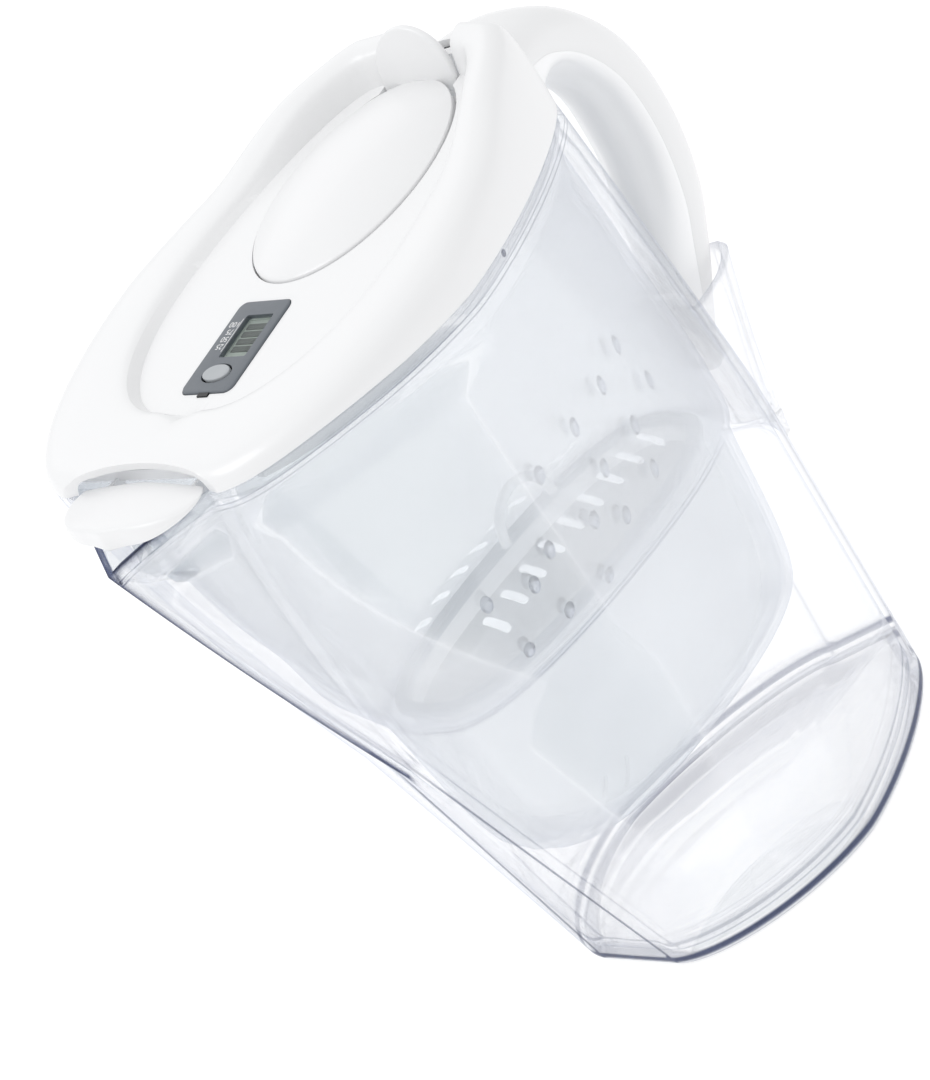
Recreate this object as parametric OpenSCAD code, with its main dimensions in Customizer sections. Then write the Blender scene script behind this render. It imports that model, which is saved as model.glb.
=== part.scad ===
// Filter jug with a flip-up filling flap, a pouring flap and a cartridge timer.
// X runs from the spout (-X) to the handle (+X), Z is up, the base stands on Z = 0.
// Inside the modules X is measured from the front edge of the base.

/* [Jug] */
// Height of the rim above the table
rim_height = 244; // [200:1:280]
// Length of the base, front edge to rear tip
base_length = 162; // [150:1:174]
// Width of the base at its widest
base_width = 109; // [100:1:120]
// Width of the rim at its widest
rim_width = 143.6; // [136:0.2:152]
// How far the spout tip hangs ahead of the base
spout_overhang = 86; // [76:1:96]
// How far the spout tip lies below the rim
spout_drop = 12.5; // [6:0.5:16]
// Height at which the front facet turns into the spout keel
front_split = 117; // [100:1:130]
// Height at which the rear keel leaves the body as the handle socket
rear_split = 92; // [80:1:98]
// Width of the front facet at the base
facet_width = 32; // [24:1:40]
// Wall of the jug
jug_wall = 2.6; // [2:0.1:3.4]

/* [Handle] */
// How far the back of the handle stands behind the jug's back
handle_reach = 35; // [31:1:39]
// Width of the grip
grip_width = 29; // [24:1:32]
// Wall of the handle shells
handle_wall = 2.4; // [1.8:0.1:3]

/* [Funnel] */
// Wall of the funnel
funnel_wall = 2; // [1.6:0.1:2.4]
// Underside of the cartridge well above the table
well_bottom = 50; // [46:1:60]
// Width of the cartridge well at its top
well_width = 66; // [60:1:72]

/* [Lid] */
// Wall of the lid
lid_wall = 2.2; // [1.8:0.1:2.8]
// Length of the filling flap's dome
dome_length = 84; // [76:1:90]
// Width of the filling flap's dome
dome_width = 62; // [54:1:66]
// Rise of the dome above the lid's recess
dome_rise = 8; // [5:0.5:10]
// Height of the thumb tab above its hinge
tab_height = 19; // [14:1:22]
// Width of the thumb tab
tab_width = 31; // [26:1:34]

/* [Timer] */
// Length of the timer's face
timer_length = 37; // [34:1:42]
// Width of the timer's face
timer_width = 22; // [20:1:25]
// Depth of the timer's housing
timer_depth = 9; // [8:0.5:11]
// Travel of the start button
button_travel = 0.8; // [0.5:0.1:1]

/* [Hidden] */

rear_x = base_length - 16;   // rear edge of the side panels, lower half
rear_lean = 28;              // forward lean of the back at the rim
back_edge = rear_x - rear_lean;  // rear edge of the side panels at the rim
stretch = base_length / 162;     // funnel and cartridge keep step with the base
origin_x = (rear_x + handle_reach - spout_overhang) / 2;
lift_gap = 0.3;   // clearance between pieces that lift apart
pin_gap = 0.05;   // radial clearance of a pin in its bore
nose_steps = 2;
arc_steps = 8;

// Jug outline at three heights
split_x = 37;             // front edge's lean from the base to the front split
split_half = 4;           // half-width of the front facet at the split
shoulder_run = 25.2;      // further lean of the shoulders from the split to the rim
shoulder_half = 30;       // half-width of the spout between its shoulders
keel_bow = 1.2;           // outward bow of the spout keel
base_wide_x = 63 * stretch;  // where the base is widest
rim_wide_x = 19.5;        // where the rim is widest
rear_half = 15.5;         // half-width of the back between the side panels
rear_turn = 110;          // height at which the back starts to lean forward
rear_spread = 16;         // growth of the back's half-width up to the rim
rear_bulge = 4;           // crown of the back at the rim
spout_start = -20;        // where the rim starts to fall towards the spout
floor_thickness = 3.6;
foot_width = 5;
foot_height = 1;
ledge_depth = 5;          // depth of the ledge that carries the funnel, below the rim
ledge_wall = 3.4;
rim_wall = 1.8;

// Handle socket at the back of the jug
socket_top = 150;
socket_wall = 2.4;
socket_rise = 60;         // height over which the socket's keel leans out
socket_lean = 16.5;
tongue_half = 11;
tongue_bottom = 121;
tongue_thickness = 3;
latch_size = [1.5, 4.6, 11];
latch_z = 126;
lug_size = [8, 12, 3.4];
root_x = back_edge + 6;    // front end of the handle

// Recess of the lid: a plane that rises towards the handle
recess_slope = 0.135;
recess_z = rim_height + 7.4;
crown_step = 5;
collar_step = 6;
hinge_x = back_edge - 15;
hinge = [hinge_x, recess_z + recess_slope * hinge_x - 5.8];
hinge_radius = 1.5;
dome_x = hinge_x + 1 - dome_length / 2;
rear_gap = 1.6;           // extra room behind the dome for its swing
tab_thickness = 2.6;
tab_lean = 8;
arch_x = -56.6;
arch_radius = 110;
pour_hinge = [-57, rim_height - 5.7];
pour_radius = 1.3;
frame_inset = 4.5;
frame_wall = 1.6;
frame_drop = 5.5;
timer_x = back_edge - 124;
button_x = -11;           // along the timer's face
button_size = [11, 7];
display_x = 4;
display_size = [17, 14];

function mix(a, b, t) = a + (b - a) * t;
function ramp(v, lo, hi) = min(1, max(0, (v - lo) / (hi - lo)));
function smooth(t) = t * t * (3 - 2 * t);
function reverse(v) = [for (i = [len(v) - 1:-1:0]) v[i]];
function recess(x) = recess_z + recess_slope * x;
function rim_z(x) = rim_height
  - spout_drop * pow(ramp(-x, -spout_start, spout_overhang), 3);

// Closed plan, symmetric about Y = 0, from the nose round the near side to the back.
// n = nose, f = front corner, m = widest, r = rear corner, b = back; w = half-widths,
// p = roundness of the two side arcs.
function plan(n, f, wf, m, wm, r, wr, b, pf = 2, pr = 2) = let(half = concat(
    [for (i = [0:nose_steps - 1]) let(t = i / nose_steps) [mix(n, f, t), mix(0, wf, t)]],
    [for (i = [0:arc_steps - 1]) let(a = 90 * i / arc_steps)
      [m + (f - m) * pow(cos(a), 2 / pf), wf + (wm - wf) * pow(sin(a), 2 / pf)]],
    [for (i = [0:arc_steps - 1]) let(a = 90 * i / arc_steps)
      [m + (r - m) * pow(sin(a), 2 / pr), wr + (wm - wr) * pow(cos(a), 2 / pr)]],
    [for (i = [0:nose_steps]) let(t = i / nose_steps) [mix(r, b, t), mix(wr, 0, t)]]))
  concat([for (q = half) [q.x, -q.y]],
    [for (i = [len(half) - 2:-1:1]) half[i]]);

function unit(v) = v / max(norm(v), 1e-6);
function side_normal(a, b) = let(d = unit(b - a)) [-d.y, d.x];

// The plan moved inwards by d, with mitred corners
function inset(pts, d) = let(n = len(pts)) [for (i = [0:n - 1]) let(
    before = side_normal(pts[(i + n - 1) % n], pts[i]),
    after = side_normal(pts[i], pts[(i + 1) % n]),
    mid = unit(before + after)) pts[i] + mid * d / max(0.55, mid * after)];
function blend(a, b, t) = [for (i = [0:len(a) - 1]) mix(a[i], b[i], t)];
function lift(pts, z) = [for (q = pts) [q.x, q.y, z]];

// Solid between stacked rings of equal length, closed at both ends
module sock(rings) {
  n = len(rings[0]);
  last = len(rings) - 1;
  points = concat([for (r = rings, q = r) q],
    [for (r = [rings[0], rings[last]]) [for (q = r) 1] * r / n]);
  faces = concat(
    [for (k = [0:last - 1], i = [0:n - 1]) let(a = k * n + i, b = k * n + (i + 1) % n)
      [a, a + n, b + n]],
    [for (k = [0:last - 1], i = [0:n - 1]) let(a = k * n + i, b = k * n + (i + 1) % n)
      [a, b + n, b]],
    [for (i = [0:n - 1]) [n * (last + 1), i, (i + 1) % n]],
    [for (i = [0:n - 1]) [n * (last + 1) + 1, n * last + (i + 1) % n, n * last + i]]);
  polyhedron(points, faces);
}

// Solid between stacked rings whose last ring joins the first
module tube(rings) {
  n = len(rings[0]);
  last = len(rings) - 1;
  faces = [for (k = [0:last], i = [0:n - 1]) let(
    a = k * n + i, b = k * n + (i + 1) % n, next = ((k + 1) % (last + 1)) * n,
    c = next + (i + 1) % n, d = next + i)
    each k < last ? [[a, d, c], [a, c, b]] : [[a, d, b], [d, c, b]]];
  polyhedron([for (r = rings, q = r) q], faces);
}

// ---- Jug ----
function jug_plan(z) = let(
    u = ramp(z, front_split, rim_height),
    v = ramp(z, rear_turn, rim_height),
    front = -split_x * ramp(z, 0, front_split) - shoulder_run * (1 - pow(1 - u, 1.57)),
    keel = -split_x * ramp(z, 0, front_split) - (spout_overhang - split_x) * u
      - 4 * keel_bow * u * (1 - u),
    rear = rear_x - rear_lean * pow(v, 1.3),
    back = z < rear_split ? base_length - 2 * z / rear_split
      : z < rear_split + 7 ? mix(base_length - 2, rear_x, (z - rear_split) / 7)
      : rear + rear_bulge * pow(v, 2),
    front_half = z < front_split ? mix(facet_width / 2, split_half, z / front_split)
      : mix(split_half, shoulder_half, u))
  plan(keel, front, front_half,
    mix(base_wide_x, rim_wide_x, z / rim_height), mix(base_width, rim_width, z / rim_height) / 2,
    rear, rear_half + rear_spread * pow(v, 1.5) + 2 * (1 - ramp(z, 0, rear_turn)), back,
    mix(1.7, 1.95, z / rim_height), mix(1.45, 1.33, z / rim_height));
rim_plan = jug_plan(rim_height);
function jug_ring(z, d = 0, drop = 0) = let(p = inset(jug_plan(z), d))
  [for (i = [0:len(p) - 1]) [p[i].x, p[i].y, z * rim_z(rim_plan[i].x) / rim_height - drop]];
body_z = rear_split + 7;  // where the base's solid meets the body's
function up(t) = mix(front_split, rim_height, t);
outer_levels = concat([body_z, 107, front_split],
  [for (t = [0.06, 0.18, 0.34, 0.5, 0.65, 0.81, 0.92]) up(t)]);
inner_levels = concat([for (t = [0.83, 0.65, 0.42, 0.18]) up(t)], [front_split, body_z]);

module jug_base() color([0.86, 0.91, 0.97, 0.35]) translate([-origin_x, 0, 0])
  sock(concat(
    [lift(inset(jug_plan(0), foot_width + 2), foot_height),
     lift(inset(jug_plan(0), foot_width), 0), lift(inset(jug_plan(0), 0.8), 0)],
    [for (z = [2.5, 12, 40, 70, rear_split, body_z]) jug_ring(z)],
    [for (z = [body_z, rear_split, 60, 30, 12]) jug_ring(z, jug_wall)],
    [lift(inset(jug_plan(8), jug_wall), 6),
     lift(inset(jug_plan(4), jug_wall + 3), floor_thickness)]));
module jug_body() color([0.86, 0.91, 0.97, 0.35]) translate([-origin_x, 0, 0])
  tube(concat([for (z = outer_levels) jug_ring(z)],
    [jug_ring(rim_height), jug_ring(rim_height, rim_wall),
     jug_ring(rim_height, rim_wall, ledge_depth), jug_ring(rim_height, ledge_wall, ledge_depth),
     jug_ring(up(0.92), ledge_wall)],
    [for (z = inner_levels) jug_ring(z, jug_wall)]));
// The jug's outer form, for cutting what stands against its wall
module jug_core(levels, top) sock(concat([for (z = levels) jug_ring(z)],
  [for (z = top) [for (q = jug_ring(rim_height)) q + [0, 0, z]]]));

// Outline of the handle socket: a V whose keel leans out with height
function socket_ring(z, d = 0, face = 1.2) = let(
    v = ramp(z, rear_turn, rim_height), lean = ramp(z, rear_split, rear_split + socket_rise),
    keel = base_length - 2 + socket_lean * lean - 1.2 * d,
    wide = rear_half + rear_spread * pow(v, 1.5) - 0.6 - d,
    wall_x = rear_x - rear_lean * pow(v, 1.3) - face)
  [for (q = [[wall_x, -wide], [mix(wall_x, keel, 0.5), -0.84 * wide], [keel - 4, -0.42 * wide],
    [keel, 0], [keel - 4, 0.42 * wide], [mix(wall_x, keel, 0.5), 0.84 * wide], [wall_x, wide]])
    [q.x, q.y, z]];
socket_levels = [for (t = [0:0.2:1]) mix(rear_split + 8, socket_top, t)];

module jug_socket() color([0.86, 0.91, 0.97, 0.35]) translate([-origin_x, 0, 0]) difference() {
  union() {
    difference() {
      sock([for (z = concat([rear_split - 1], socket_levels)) socket_ring(z)]);
      sock([for (z = concat(socket_levels, [socket_top + 4])) socket_ring(z, socket_wall, 0)]);
    }
    // latch for the handle's tongue
    translate([rear_x - 4, -latch_size.y / 2 + lift_gap, latch_z + lift_gap])
      cube([latch_size.x + 4, latch_size.y - 2 * lift_gap, latch_size.z - 2 * lift_gap]);
  }
  jug_core(concat([70, rear_split], [for (k = [0:5]) outer_levels[k]]), []);
}
// Pad that the handle's root stands against, with the lug it slips over
module jug_lug() color([0.86, 0.91, 0.97, 0.35]) translate([-origin_x, 0, 0]) difference() {
  union() {
    translate([root_x - 4.7, -17, rim_height - 7]) cube([4.5, 34, 6.8]);
    translate([root_x - 2, -lug_size.y / 2, rim_height - 3.6]) cube(lug_size);
  }
  jug_core([up(0.92), rim_height], [4]);
}

// ---- Handle ----
// Stations along the handle: [x, z, thickness, half-width], from the rim to the lower end
grip_x = rear_x + handle_reach;
low_z = latch_z + 4;       // lower end of the handle, in the socket
half_grip = grip_width / 2;
function along(t) = mix(low_z, rim_height, t);
handle_path = [
  [root_x, rim_height + 8, 30, 21],
  [root_x + 14, rim_height + 5, 30, 18],
  [rear_x + 6, rim_height - 5, 31, half_grip + 1],
  [grip_x - 19, rim_height - 22, 33, half_grip],
  [grip_x - 17, along(0.614), 34, half_grip],
  [grip_x - 20, along(0.421), 32, half_grip - 1],
  [rear_x + 11, along(0.263), 26, 9.8],
  [rear_x + 6, along(0.14), 19, 8.2],
  [rear_x + 3, along(0.044), 12, 7],
  [rear_x + 2, low_z, 6, 5.5]];
function spline(p, t) = let(k = min(len(p) - 2, floor(t)), u = t - k,
    a = p[max(0, k - 1)], b = p[k], c = p[k + 1], d = p[min(len(p) - 1, k + 2)])
  b + u * ((c - a) + u * ((2 * a - 5 * b + 4 * c - d) + u * (3 * b - a - 3 * c + d))) / 2;
function arc_point(s, across, wide, a, p) = let(
    i = across * sign(cos(a)) * pow(abs(cos(a)), 2 / p),
    y = wide * sign(sin(a)) * pow(abs(sin(a)), 2 / p))
  [s.x + i * s[4], y, s.y + i * s[5]];
handle_rings = 20;
handle_arc = 8;
// One station with its outward normal appended
function station(t) = let(s = spline(handle_path, t), e = 0.02,
    q = spline(handle_path, min(t + e, len(handle_path) - 1)), o = spline(handle_path, max(t - e, 0)),
    d = unit([q.x - o.x, q.y - o.y]))
  concat(s, unit([-d.y * ramp(t, 0, 0.8), d.x]));
// Half of the handle's section, from one edge to the other and back along the inside
function shell_ring(s, side) = let(
    wide = s[3], deep = s[2] / 2, iw = max(1, wide - handle_wall), id = max(0.6, deep - handle_wall),
    out = [for (i = [0:handle_arc]) arc_point(s, side * deep, wide, -90 + 180 * i / handle_arc, 2.5)],
    in = [for (i = [0:handle_arc]) arc_point(s, side * id, iw, -90 + 180 * i / handle_arc, 2.5)])
  concat(out, reverse(in));

module channel(rings) {
  n = len(rings[0]);
  last = len(rings) - 1;
  half = n / 2;
  faces = concat(
    [for (k = [0:last - 1], i = [0:n - 1]) let(a = k * n + i, b = k * n + (i + 1) % n)
      [a, a + n, b + n]],
    [for (k = [0:last - 1], i = [0:n - 1]) let(a = k * n + i, b = k * n + (i + 1) % n)
      [a, b + n, b]],
    [for (i = [0:half - 2]) [i, i + 1, n - 2 - i]], [for (i = [0:half - 2]) [i, n - 2 - i, n - 1 - i]],
    [for (i = [0:half - 2]) let(o = last * n) [o + i, o + n - 2 - i, o + i + 1]],
    [for (i = [0:half - 2]) let(o = last * n) [o + i, o + n - 1 - i, o + n - 2 - i]]);
  polyhedron([for (r = rings, q = r) q], faces);
}
function back_x(z) = rear_x - rear_lean * pow(ramp(z, rear_turn, rim_height), 1.3);
tongue_lean = atan((back_x(tongue_bottom) - back_x(tongue_bottom + 30)) / 30);
module handle_shell(side) {
  rings = [for (k = [0:handle_rings]) shell_ring(station((len(handle_path) - 1) * k / handle_rings), side)];
  channel(side < 0 ? rings : [for (r = rings) reverse(r)]);
}
module handle_outer() color("white") translate([-origin_x, 0, 0]) handle_shell(1);
module handle_inner() color("white") translate([-origin_x, 0, 0]) difference() {
  union() {
    handle_shell(-1);
    // latch tongue that snaps over the catch of the socket
    translate([back_x(tongue_bottom) + 0.5, 0, tongue_bottom]) rotate([0, -tongue_lean, 0])
      rotate([90, 0, 90]) linear_extrude(tongue_thickness) union() {
        translate([-tongue_half, tongue_half]) square([2 * tongue_half, 22]);
        translate([0, tongue_half]) circle(tongue_half, $fn = 40);
      }
  }
  translate([rear_x - 6, -latch_size.y / 2, latch_z]) cube([8.2, latch_size.y, latch_size.z]);
}

// ---- Funnel ----
bowl_z = 118;
cup_bottom = well_bottom + funnel_wall;
function bowl_up(t) = mix(bowl_z, rim_height, t);
function back_part(x) = x > 0 ? x * stretch : x;
// z, then the plan's values, from the underside of the well up to the rim
funnel_rows = [
  [well_bottom + 2, 2, 4, 3, 50, 0.36 * well_width, 116, 3, 117, 2.3, 2.3],
  [well_bottom + 5, -6, -5, 4, 52, 0.42 * well_width, 122, 4, 123, 2.4, 2.4],
  [well_bottom + 12, -14, -13, 5, 53, 0.45 * well_width, 126, 5, 127, 2.5, 2.5],
  [well_bottom + 30, -19, -18, 6, 53, 0.47 * well_width, 128, 6, 129, 2.6, 2.6],
  [bowl_z - 6, -24, -23, 7, 53, 0.5 * well_width, 129, 7, 130, 2.6, 2.6],
  [bowl_z, -25, -24, 7.5, 52, 0.53 * well_width, 130, 8, 131, 2.5, 2.5],
  [bowl_z + 4, -27, -26, 8, 50, 0.64 * well_width, 131, 8.5, 132, 2.3, 2.2],
  [bowl_z + 11, -31, -30, 9, 47, 0.71 * well_width, 132, 10, 133, 2.1, 1.9],
  [bowl_z + 23, -37, -36, 10, 43, 0.78 * well_width, 132, 11.5, 133, 2, 1.7],
  [bowl_up(0.333), -42.5, -39.5, 11, 38, 0.84 * well_width, 129.5, 14, 130.5, 2, 1.6],
  [bowl_up(0.492), -50.5, -46, 12.5, 34, 0.895 * well_width, 126, 17, 127, 1.95, 1.5],
  [bowl_up(0.651), -57, -49, 16, 29, 0.945 * well_width, 122, 20.5, 123.5, 1.95, 1.45],
  [bowl_up(0.825), -63, -52, 20, 24, 0.99 * well_width, 116.5, 25, 119, 1.95, 1.4]];
// Rows above the well sink towards the spout with the rim
function funnel_ring(r, d) = let(q = inset(plan(r[1], r[2], r[3], r[4] * stretch, r[5],
    r[6] * stretch, r[7], r[8] * stretch, r[9], r[10]), d))
  [for (i = [0:len(q) - 1]) [q[i].x, q[i].y, r[0] * mix(1, rim_z(rim_plan[i].x) / rim_height,
    ramp(r[0], bowl_z, bowl_up(0.41))) + (d > 0 && r[0] < bowl_z - 8 ? 0.7 * d : 0)]];
well_foot = plan(14, 16, 2, 50 * stretch, 0.28 * well_width, 108 * stretch, 2, 110 * stretch);
// The flange dips and draws in at the front to leave the pouring channel
function dip(i) = smooth(ramp(-rim_plan[i].x, 62, 76));
function drawn(i) = smooth(ramp(-rim_plan[i].x, 56, 74));
function flange_ring(d, drop, draw, seat = 0) = let(p = inset(rim_plan, d), q = inset(rim_plan, d + draw))
  [for (i = [0:len(p) - 1]) let(c = mix(p[i], q[i], drawn(i)), x = rim_plan[i].x)
    [c.x, c.y, rim_z(x) - drop - 7 * dip(i) + seat * ramp(-x, 10, 20)]];
flange_inset = rim_wall + lift_gap;
module funnel() color([0.84, 0.88, 0.94, 0.5]) translate([-origin_x, 0, 0]) {
  sock(concat(
    [lift(well_foot, well_bottom)],
    [for (r = funnel_rows) funnel_ring(r, 0)],
    [flange_ring(ledge_wall + 2.6, ledge_depth + 4, 9),
     flange_ring(ledge_wall + 1, ledge_depth, 9, lift_gap),
     flange_ring(flange_inset, ledge_depth, 9, lift_gap), flange_ring(flange_inset, lift_gap, 7),
     flange_ring(flange_inset + funnel_wall, lift_gap, 7),
     flange_ring(flange_inset + funnel_wall, ledge_depth, 9)],
    [for (r = reverse(funnel_rows)) funnel_ring(r, funnel_wall)],
    [lift(inset(well_foot, 1), cup_bottom)]));
}

// ---- Cartridge ----
cup_top = bowl_z + 2;
cup_wall = 1.4;
// Height above the well's floor, front, rear and half-width of the cartridge
cup_rows = [[0, 30, 78, 0.18], [1.6, 18, 93, 0.26], [4.6, 9, 104, 0.32], [10, 0, 112, 0.36],
  [17, -7, 117, 0.385], [28, -13, 120, 0.4], [41, -17, 121, 0.41], [cup_top - cup_bottom, -19, 122, 0.42]];
function cup_ring(r, d, z) = lift(inset(plan(back_part(r[1]), back_part(r[1]) + 1, 4, 52 * stretch,
  r[3] * well_width, r[2] * stretch - 1, 4, r[2] * stretch, 2.4, 2.4), d), z);
cup_rim = cup_ring(cup_rows[7], 0, 0);
function flat(ring) = [for (q = ring) [q.x, q.y]];
module ellipse_plate(x, long, wide, z, thick) translate([x, 0, z])
  linear_extrude(thick) polygon([for (a = [0:10:350]) [cos(a) * long / 2, sin(a) * wide / 2]]);
module cartridge_cup() color([0.95, 0.96, 0.97]) translate([-origin_x, 0, 0]) difference() {
  sock([for (r = cup_rows) cup_ring(r, 0, cup_bottom + r[0])]);
  sock(concat([for (r = cup_rows)
      cup_ring(r, cup_wall, cup_bottom + r[0] + (r[0] < 11 ? cup_wall : 0))],
    [cup_ring(cup_rows[7], cup_wall, cup_top + 2)]));
  // outlet slots low on both sides
  for (side = [-1, 1], k = [0, 1]) translate([9 + 9 * k, side * 0.36 * well_width, cup_bottom + 13])
    rotate([0, 12, 0]) cube([1.8, 16, 11], center = true);
  for (x = [24:8:80]) translate([x, 0, cup_bottom]) cube([3, 12, 6], center = true);
}
module cartridge_sieve() color([0.9, 0.92, 0.94]) translate([-origin_x, 0, 0]) difference() {
  ellipse_plate(54, 44, 19, cup_bottom + cup_wall + 0.3, 1);
  for (x = [39:6:69], y = [-4, 4]) translate([x, y, cup_bottom]) cube([2.4, 5, 10], center = true);
}
module cartridge_media() color([0.3, 0.31, 0.33]) translate([-origin_x, 0, 0])
  sock([for (k = [2:7]) cup_ring(cup_rows[min(k, 6)], cup_wall + lift_gap, k < 7
    ? cup_bottom + cup_rows[k][0] + cup_wall + 0.4 : cup_top - 6)]);
module cartridge_seal() color([0.8, 0.84, 0.88]) translate([-origin_x, 0, cup_top]) difference() {
  linear_extrude(2.4) polygon(flat(inset(flat(cup_rim), -2.2)));
  translate([0, 0, -1]) linear_extrude(5) polygon(flat(inset(flat(cup_rim), cup_wall + 1.2)));
}
cap_z = cup_top + 2.4;
cap_rise = 15;
function cap_ring(t, off) = let(s = pow(1 - pow(t, 2.2), 0.5))
  [for (q = inset(flat(cup_rim), -1.4)) [mix(53, q.x, max(0.12, s) * off),
    q.y * max(0.12, s) * off, cap_z + cap_rise * t]];
module cartridge_cap() color([0.93, 0.94, 0.95]) translate([-origin_x, 0, 0]) difference() {
  sock(concat([for (t = [0, 0.25, 0.5, 0.72, 0.88, 0.97]) cap_ring(t, 1)]));
  sock(concat([lift(cap_ring(0, 0.965), cap_z - 1)],
    [for (t = [0.01, 0.25, 0.5, 0.7, 0.84]) cap_ring(t, 0.965)]));
  for (k = [-4:4], side = [-1, 1]) translate([53 + 11 * k, side * 16, cap_z])
    cube([3, 9, 60], center = true);
}
module cartridge_loop() color([0.88, 0.9, 0.92]) translate([53 - origin_x, 0, cap_z + 0.97 * cap_rise]) {
  rotate([90, 0, 0]) rotate_extrude(angle = 180, $fn = 48) translate([13, 0]) circle(1.7, $fn = 20);
}

// ---- Lid ----
function crown(x) = recess(x) + crown_step
  + collar_step * smooth(ramp(x, back_edge - 63, back_edge - 26));
recess_plan = plan(back_edge - 152, back_edge - 151, 8, back_edge - 96, 45, back_edge - 14, 19,
  back_edge - 9, 2.1, 1.75);
// How far in from the edge, and how high between seam and crown, each ring of the lid lies
lid_profile = [[0, 0], [0.012, 0.3], [0.05, 0.62], [0.13, 0.84], [0.26, 0.95], [0.45, 1],
  [0.68, 0.99], [0.86, 0.94], [0.94, 0.84]];
function seam(x) = rim_z(x) + lift_gap * ramp(-x, 10, 20);
function lid_ring(t, p, d, drop) = let(q = inset(blend(rim_plan, recess_plan, t), d))
  [for (i = [0:len(q) - 1]) [q[i].x, q[i].y, mix(seam(rim_plan[i].x), crown(q[i].x), p) - drop]];
function recess_ring(d, drop) = [for (q = inset(recess_plan, d)) [q.x, q.y, recess(q.x) - drop]];
module lid_solid() sock(concat(
  [recess_ring(14, lid_wall), recess_ring(-0.6, lid_wall)],
  [for (k = [len(lid_profile) - 2:-1:1]) let(q = lid_profile[k])
    lid_ring(q[0], q[1], lid_wall * (q[0] < 0.2 ? 1 : 0.4), lid_wall * (q[0] < 0.1 ? 0.3 : 1))],
  [lid_ring(0, 0, lid_wall, 0)],
  [for (q = lid_profile) lid_ring(q[0], q[1], 0, 0)],
  [recess_ring(0.4, 0), recess_ring(14, 0)]));
module on_recess(x) translate([x, 0, recess(x)]) rotate([0, -atan(recess_slope), 0]) children();
function oval(long, wide, n = 40) = [for (i = [0:n - 1])
  [cos(360 * i / n) * long / 2, sin(360 * i / n) * wide / 2]];
module round_box(size, r, h) linear_extrude(h) union() {
  square([size.x - 2 * r, size.y], center = true);
  square([size.x, size.y - 2 * r], center = true);
  for (x = [-1, 1], y = [-1, 1]) translate([x * (size.x / 2 - r), y * (size.y / 2 - r)]) circle(r, $fn = 32);
}
dome_hole = [1.009 * dome_length + 1.2, dome_width + 1.2];
function dome_rim(d) = [for (q = oval(dome_hole.x + d, dome_hole.y + d))
  [q.x + rear_gap * max(0, 2 * q.x / dome_hole.x), q.y]];
module lid_shell() color("white") translate([-origin_x, 0, 0]) difference() {
  union() {
    lid_solid();
    // ledge that stops the filling flap
    on_recess(dome_x) translate([0, 0, -4.4]) linear_extrude(3.4)
      polygon(dome_rim(4));
  }
  on_recess(dome_x) translate([0, 0, -2.5]) linear_extrude(12) polygon(dome_rim(0));
  on_recess(dome_x) translate([0, 0, -9]) linear_extrude(12)
    polygon(oval(dome_hole.x - 7, dome_hole.y - 7));
  // notch for the thumb tab and its boss
  rotate([90, 0, 0]) linear_extrude(tab_width + 1.2, center = true)
    polygon([[hinge.x - 7, hinge.y - 3], [hinge.x + 3, hinge.y - 3], [hinge.x + 5.5, hinge.y - 0.5],
      [hinge.x + 19, hinge.y + 6.5], [hinge.x + 40, hinge.y + 6.5], [hinge.x + 40, hinge.y + 40],
      [hinge.x - 7, hinge.y + 40]]);
  translate([hinge.x - 4.5, -tab_width / 2 - 3.2, hinge.y - 3]) cube([12, tab_width + 6.4, 5.9]);
  on_recess(timer_x) translate([0, 0, -6]) round_box([timer_length + 0.6, timer_width + 0.6], 3.3, 12);
  on_recess(timer_x) translate([-timer_length / 2 - 1.6, -2.4, -1.2]) cube([3, 4.8, 4]);
  translate([arch_x - arch_radius, 0, rim_height - 30]) cylinder(80, r = arch_radius, $fn = 160);
}
module lid_frame() color([0.96, 0.96, 0.97]) translate([-origin_x, 0, 0]) {
  difference() {
    union() {
      translate([0, 0, rim_height - frame_drop]) linear_extrude(frame_drop - 0.4)
        polygon(inset(rim_plan, frame_inset));
      difference() {
        translate([0, 0, rim_height - 1]) linear_extrude(3) polygon(inset(rim_plan, frame_inset));
        translate([-115, -100, 0]) cube([100, 200, 400]);
      }
      difference() {
        translate([0, 0, rim_height + 0.4]) linear_extrude(1.6) polygon(inset(rim_plan, lid_wall + 0.5));
        translate([-115, -100, 0]) cube([100, 200, 400]);
      }
    }
    translate([0, 0, rim_height - 20]) linear_extrude(40)
      polygon(inset(rim_plan, frame_inset + frame_wall));
    translate([-152, -60, 0]) cube([100, 120, 400]);
  }
  // cross bar with the bearings of the pouring flap
  intersection() {
    translate([pour_hinge.x + 4, -60, rim_height - 4]) cube([2.6, 120, 3.6]);
    translate([0, 0, rim_height - 20]) linear_extrude(40) polygon(inset(rim_plan, frame_inset + 0.2));
  }
  for (side = [-1, 1]) difference() {
    translate([pour_hinge.x - 2.6, side * 18.7 - 0.8, pour_hinge.y - 2.1]) cube([8, 1.6, 4.7]);
    translate([pour_hinge.x, 0, pour_hinge.y]) rotate([90, 0, 0])
      cylinder(80, r = pour_radius + pin_gap, center = true, $fn = 48);
  }
  // ears that carry the filling flap, on ribs from the back of the skirt
  for (side = [-1, 1]) difference() {
    translate([hinge.x - 4, side * (tab_width / 2 + 0.4) - (side < 0 ? 2.4 : 0), rim_height + 1])
      cube([rear_x - rear_lean - hinge.x + 2.6, 2.4, hinge.y + 2.7 - rim_height - 1]);
    translate([hinge.x, 0, hinge.y]) rotate([90, 0, 0])
      cylinder(60, r = hinge_radius + pin_gap, center = true, $fn = 48);
  }
}

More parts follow.
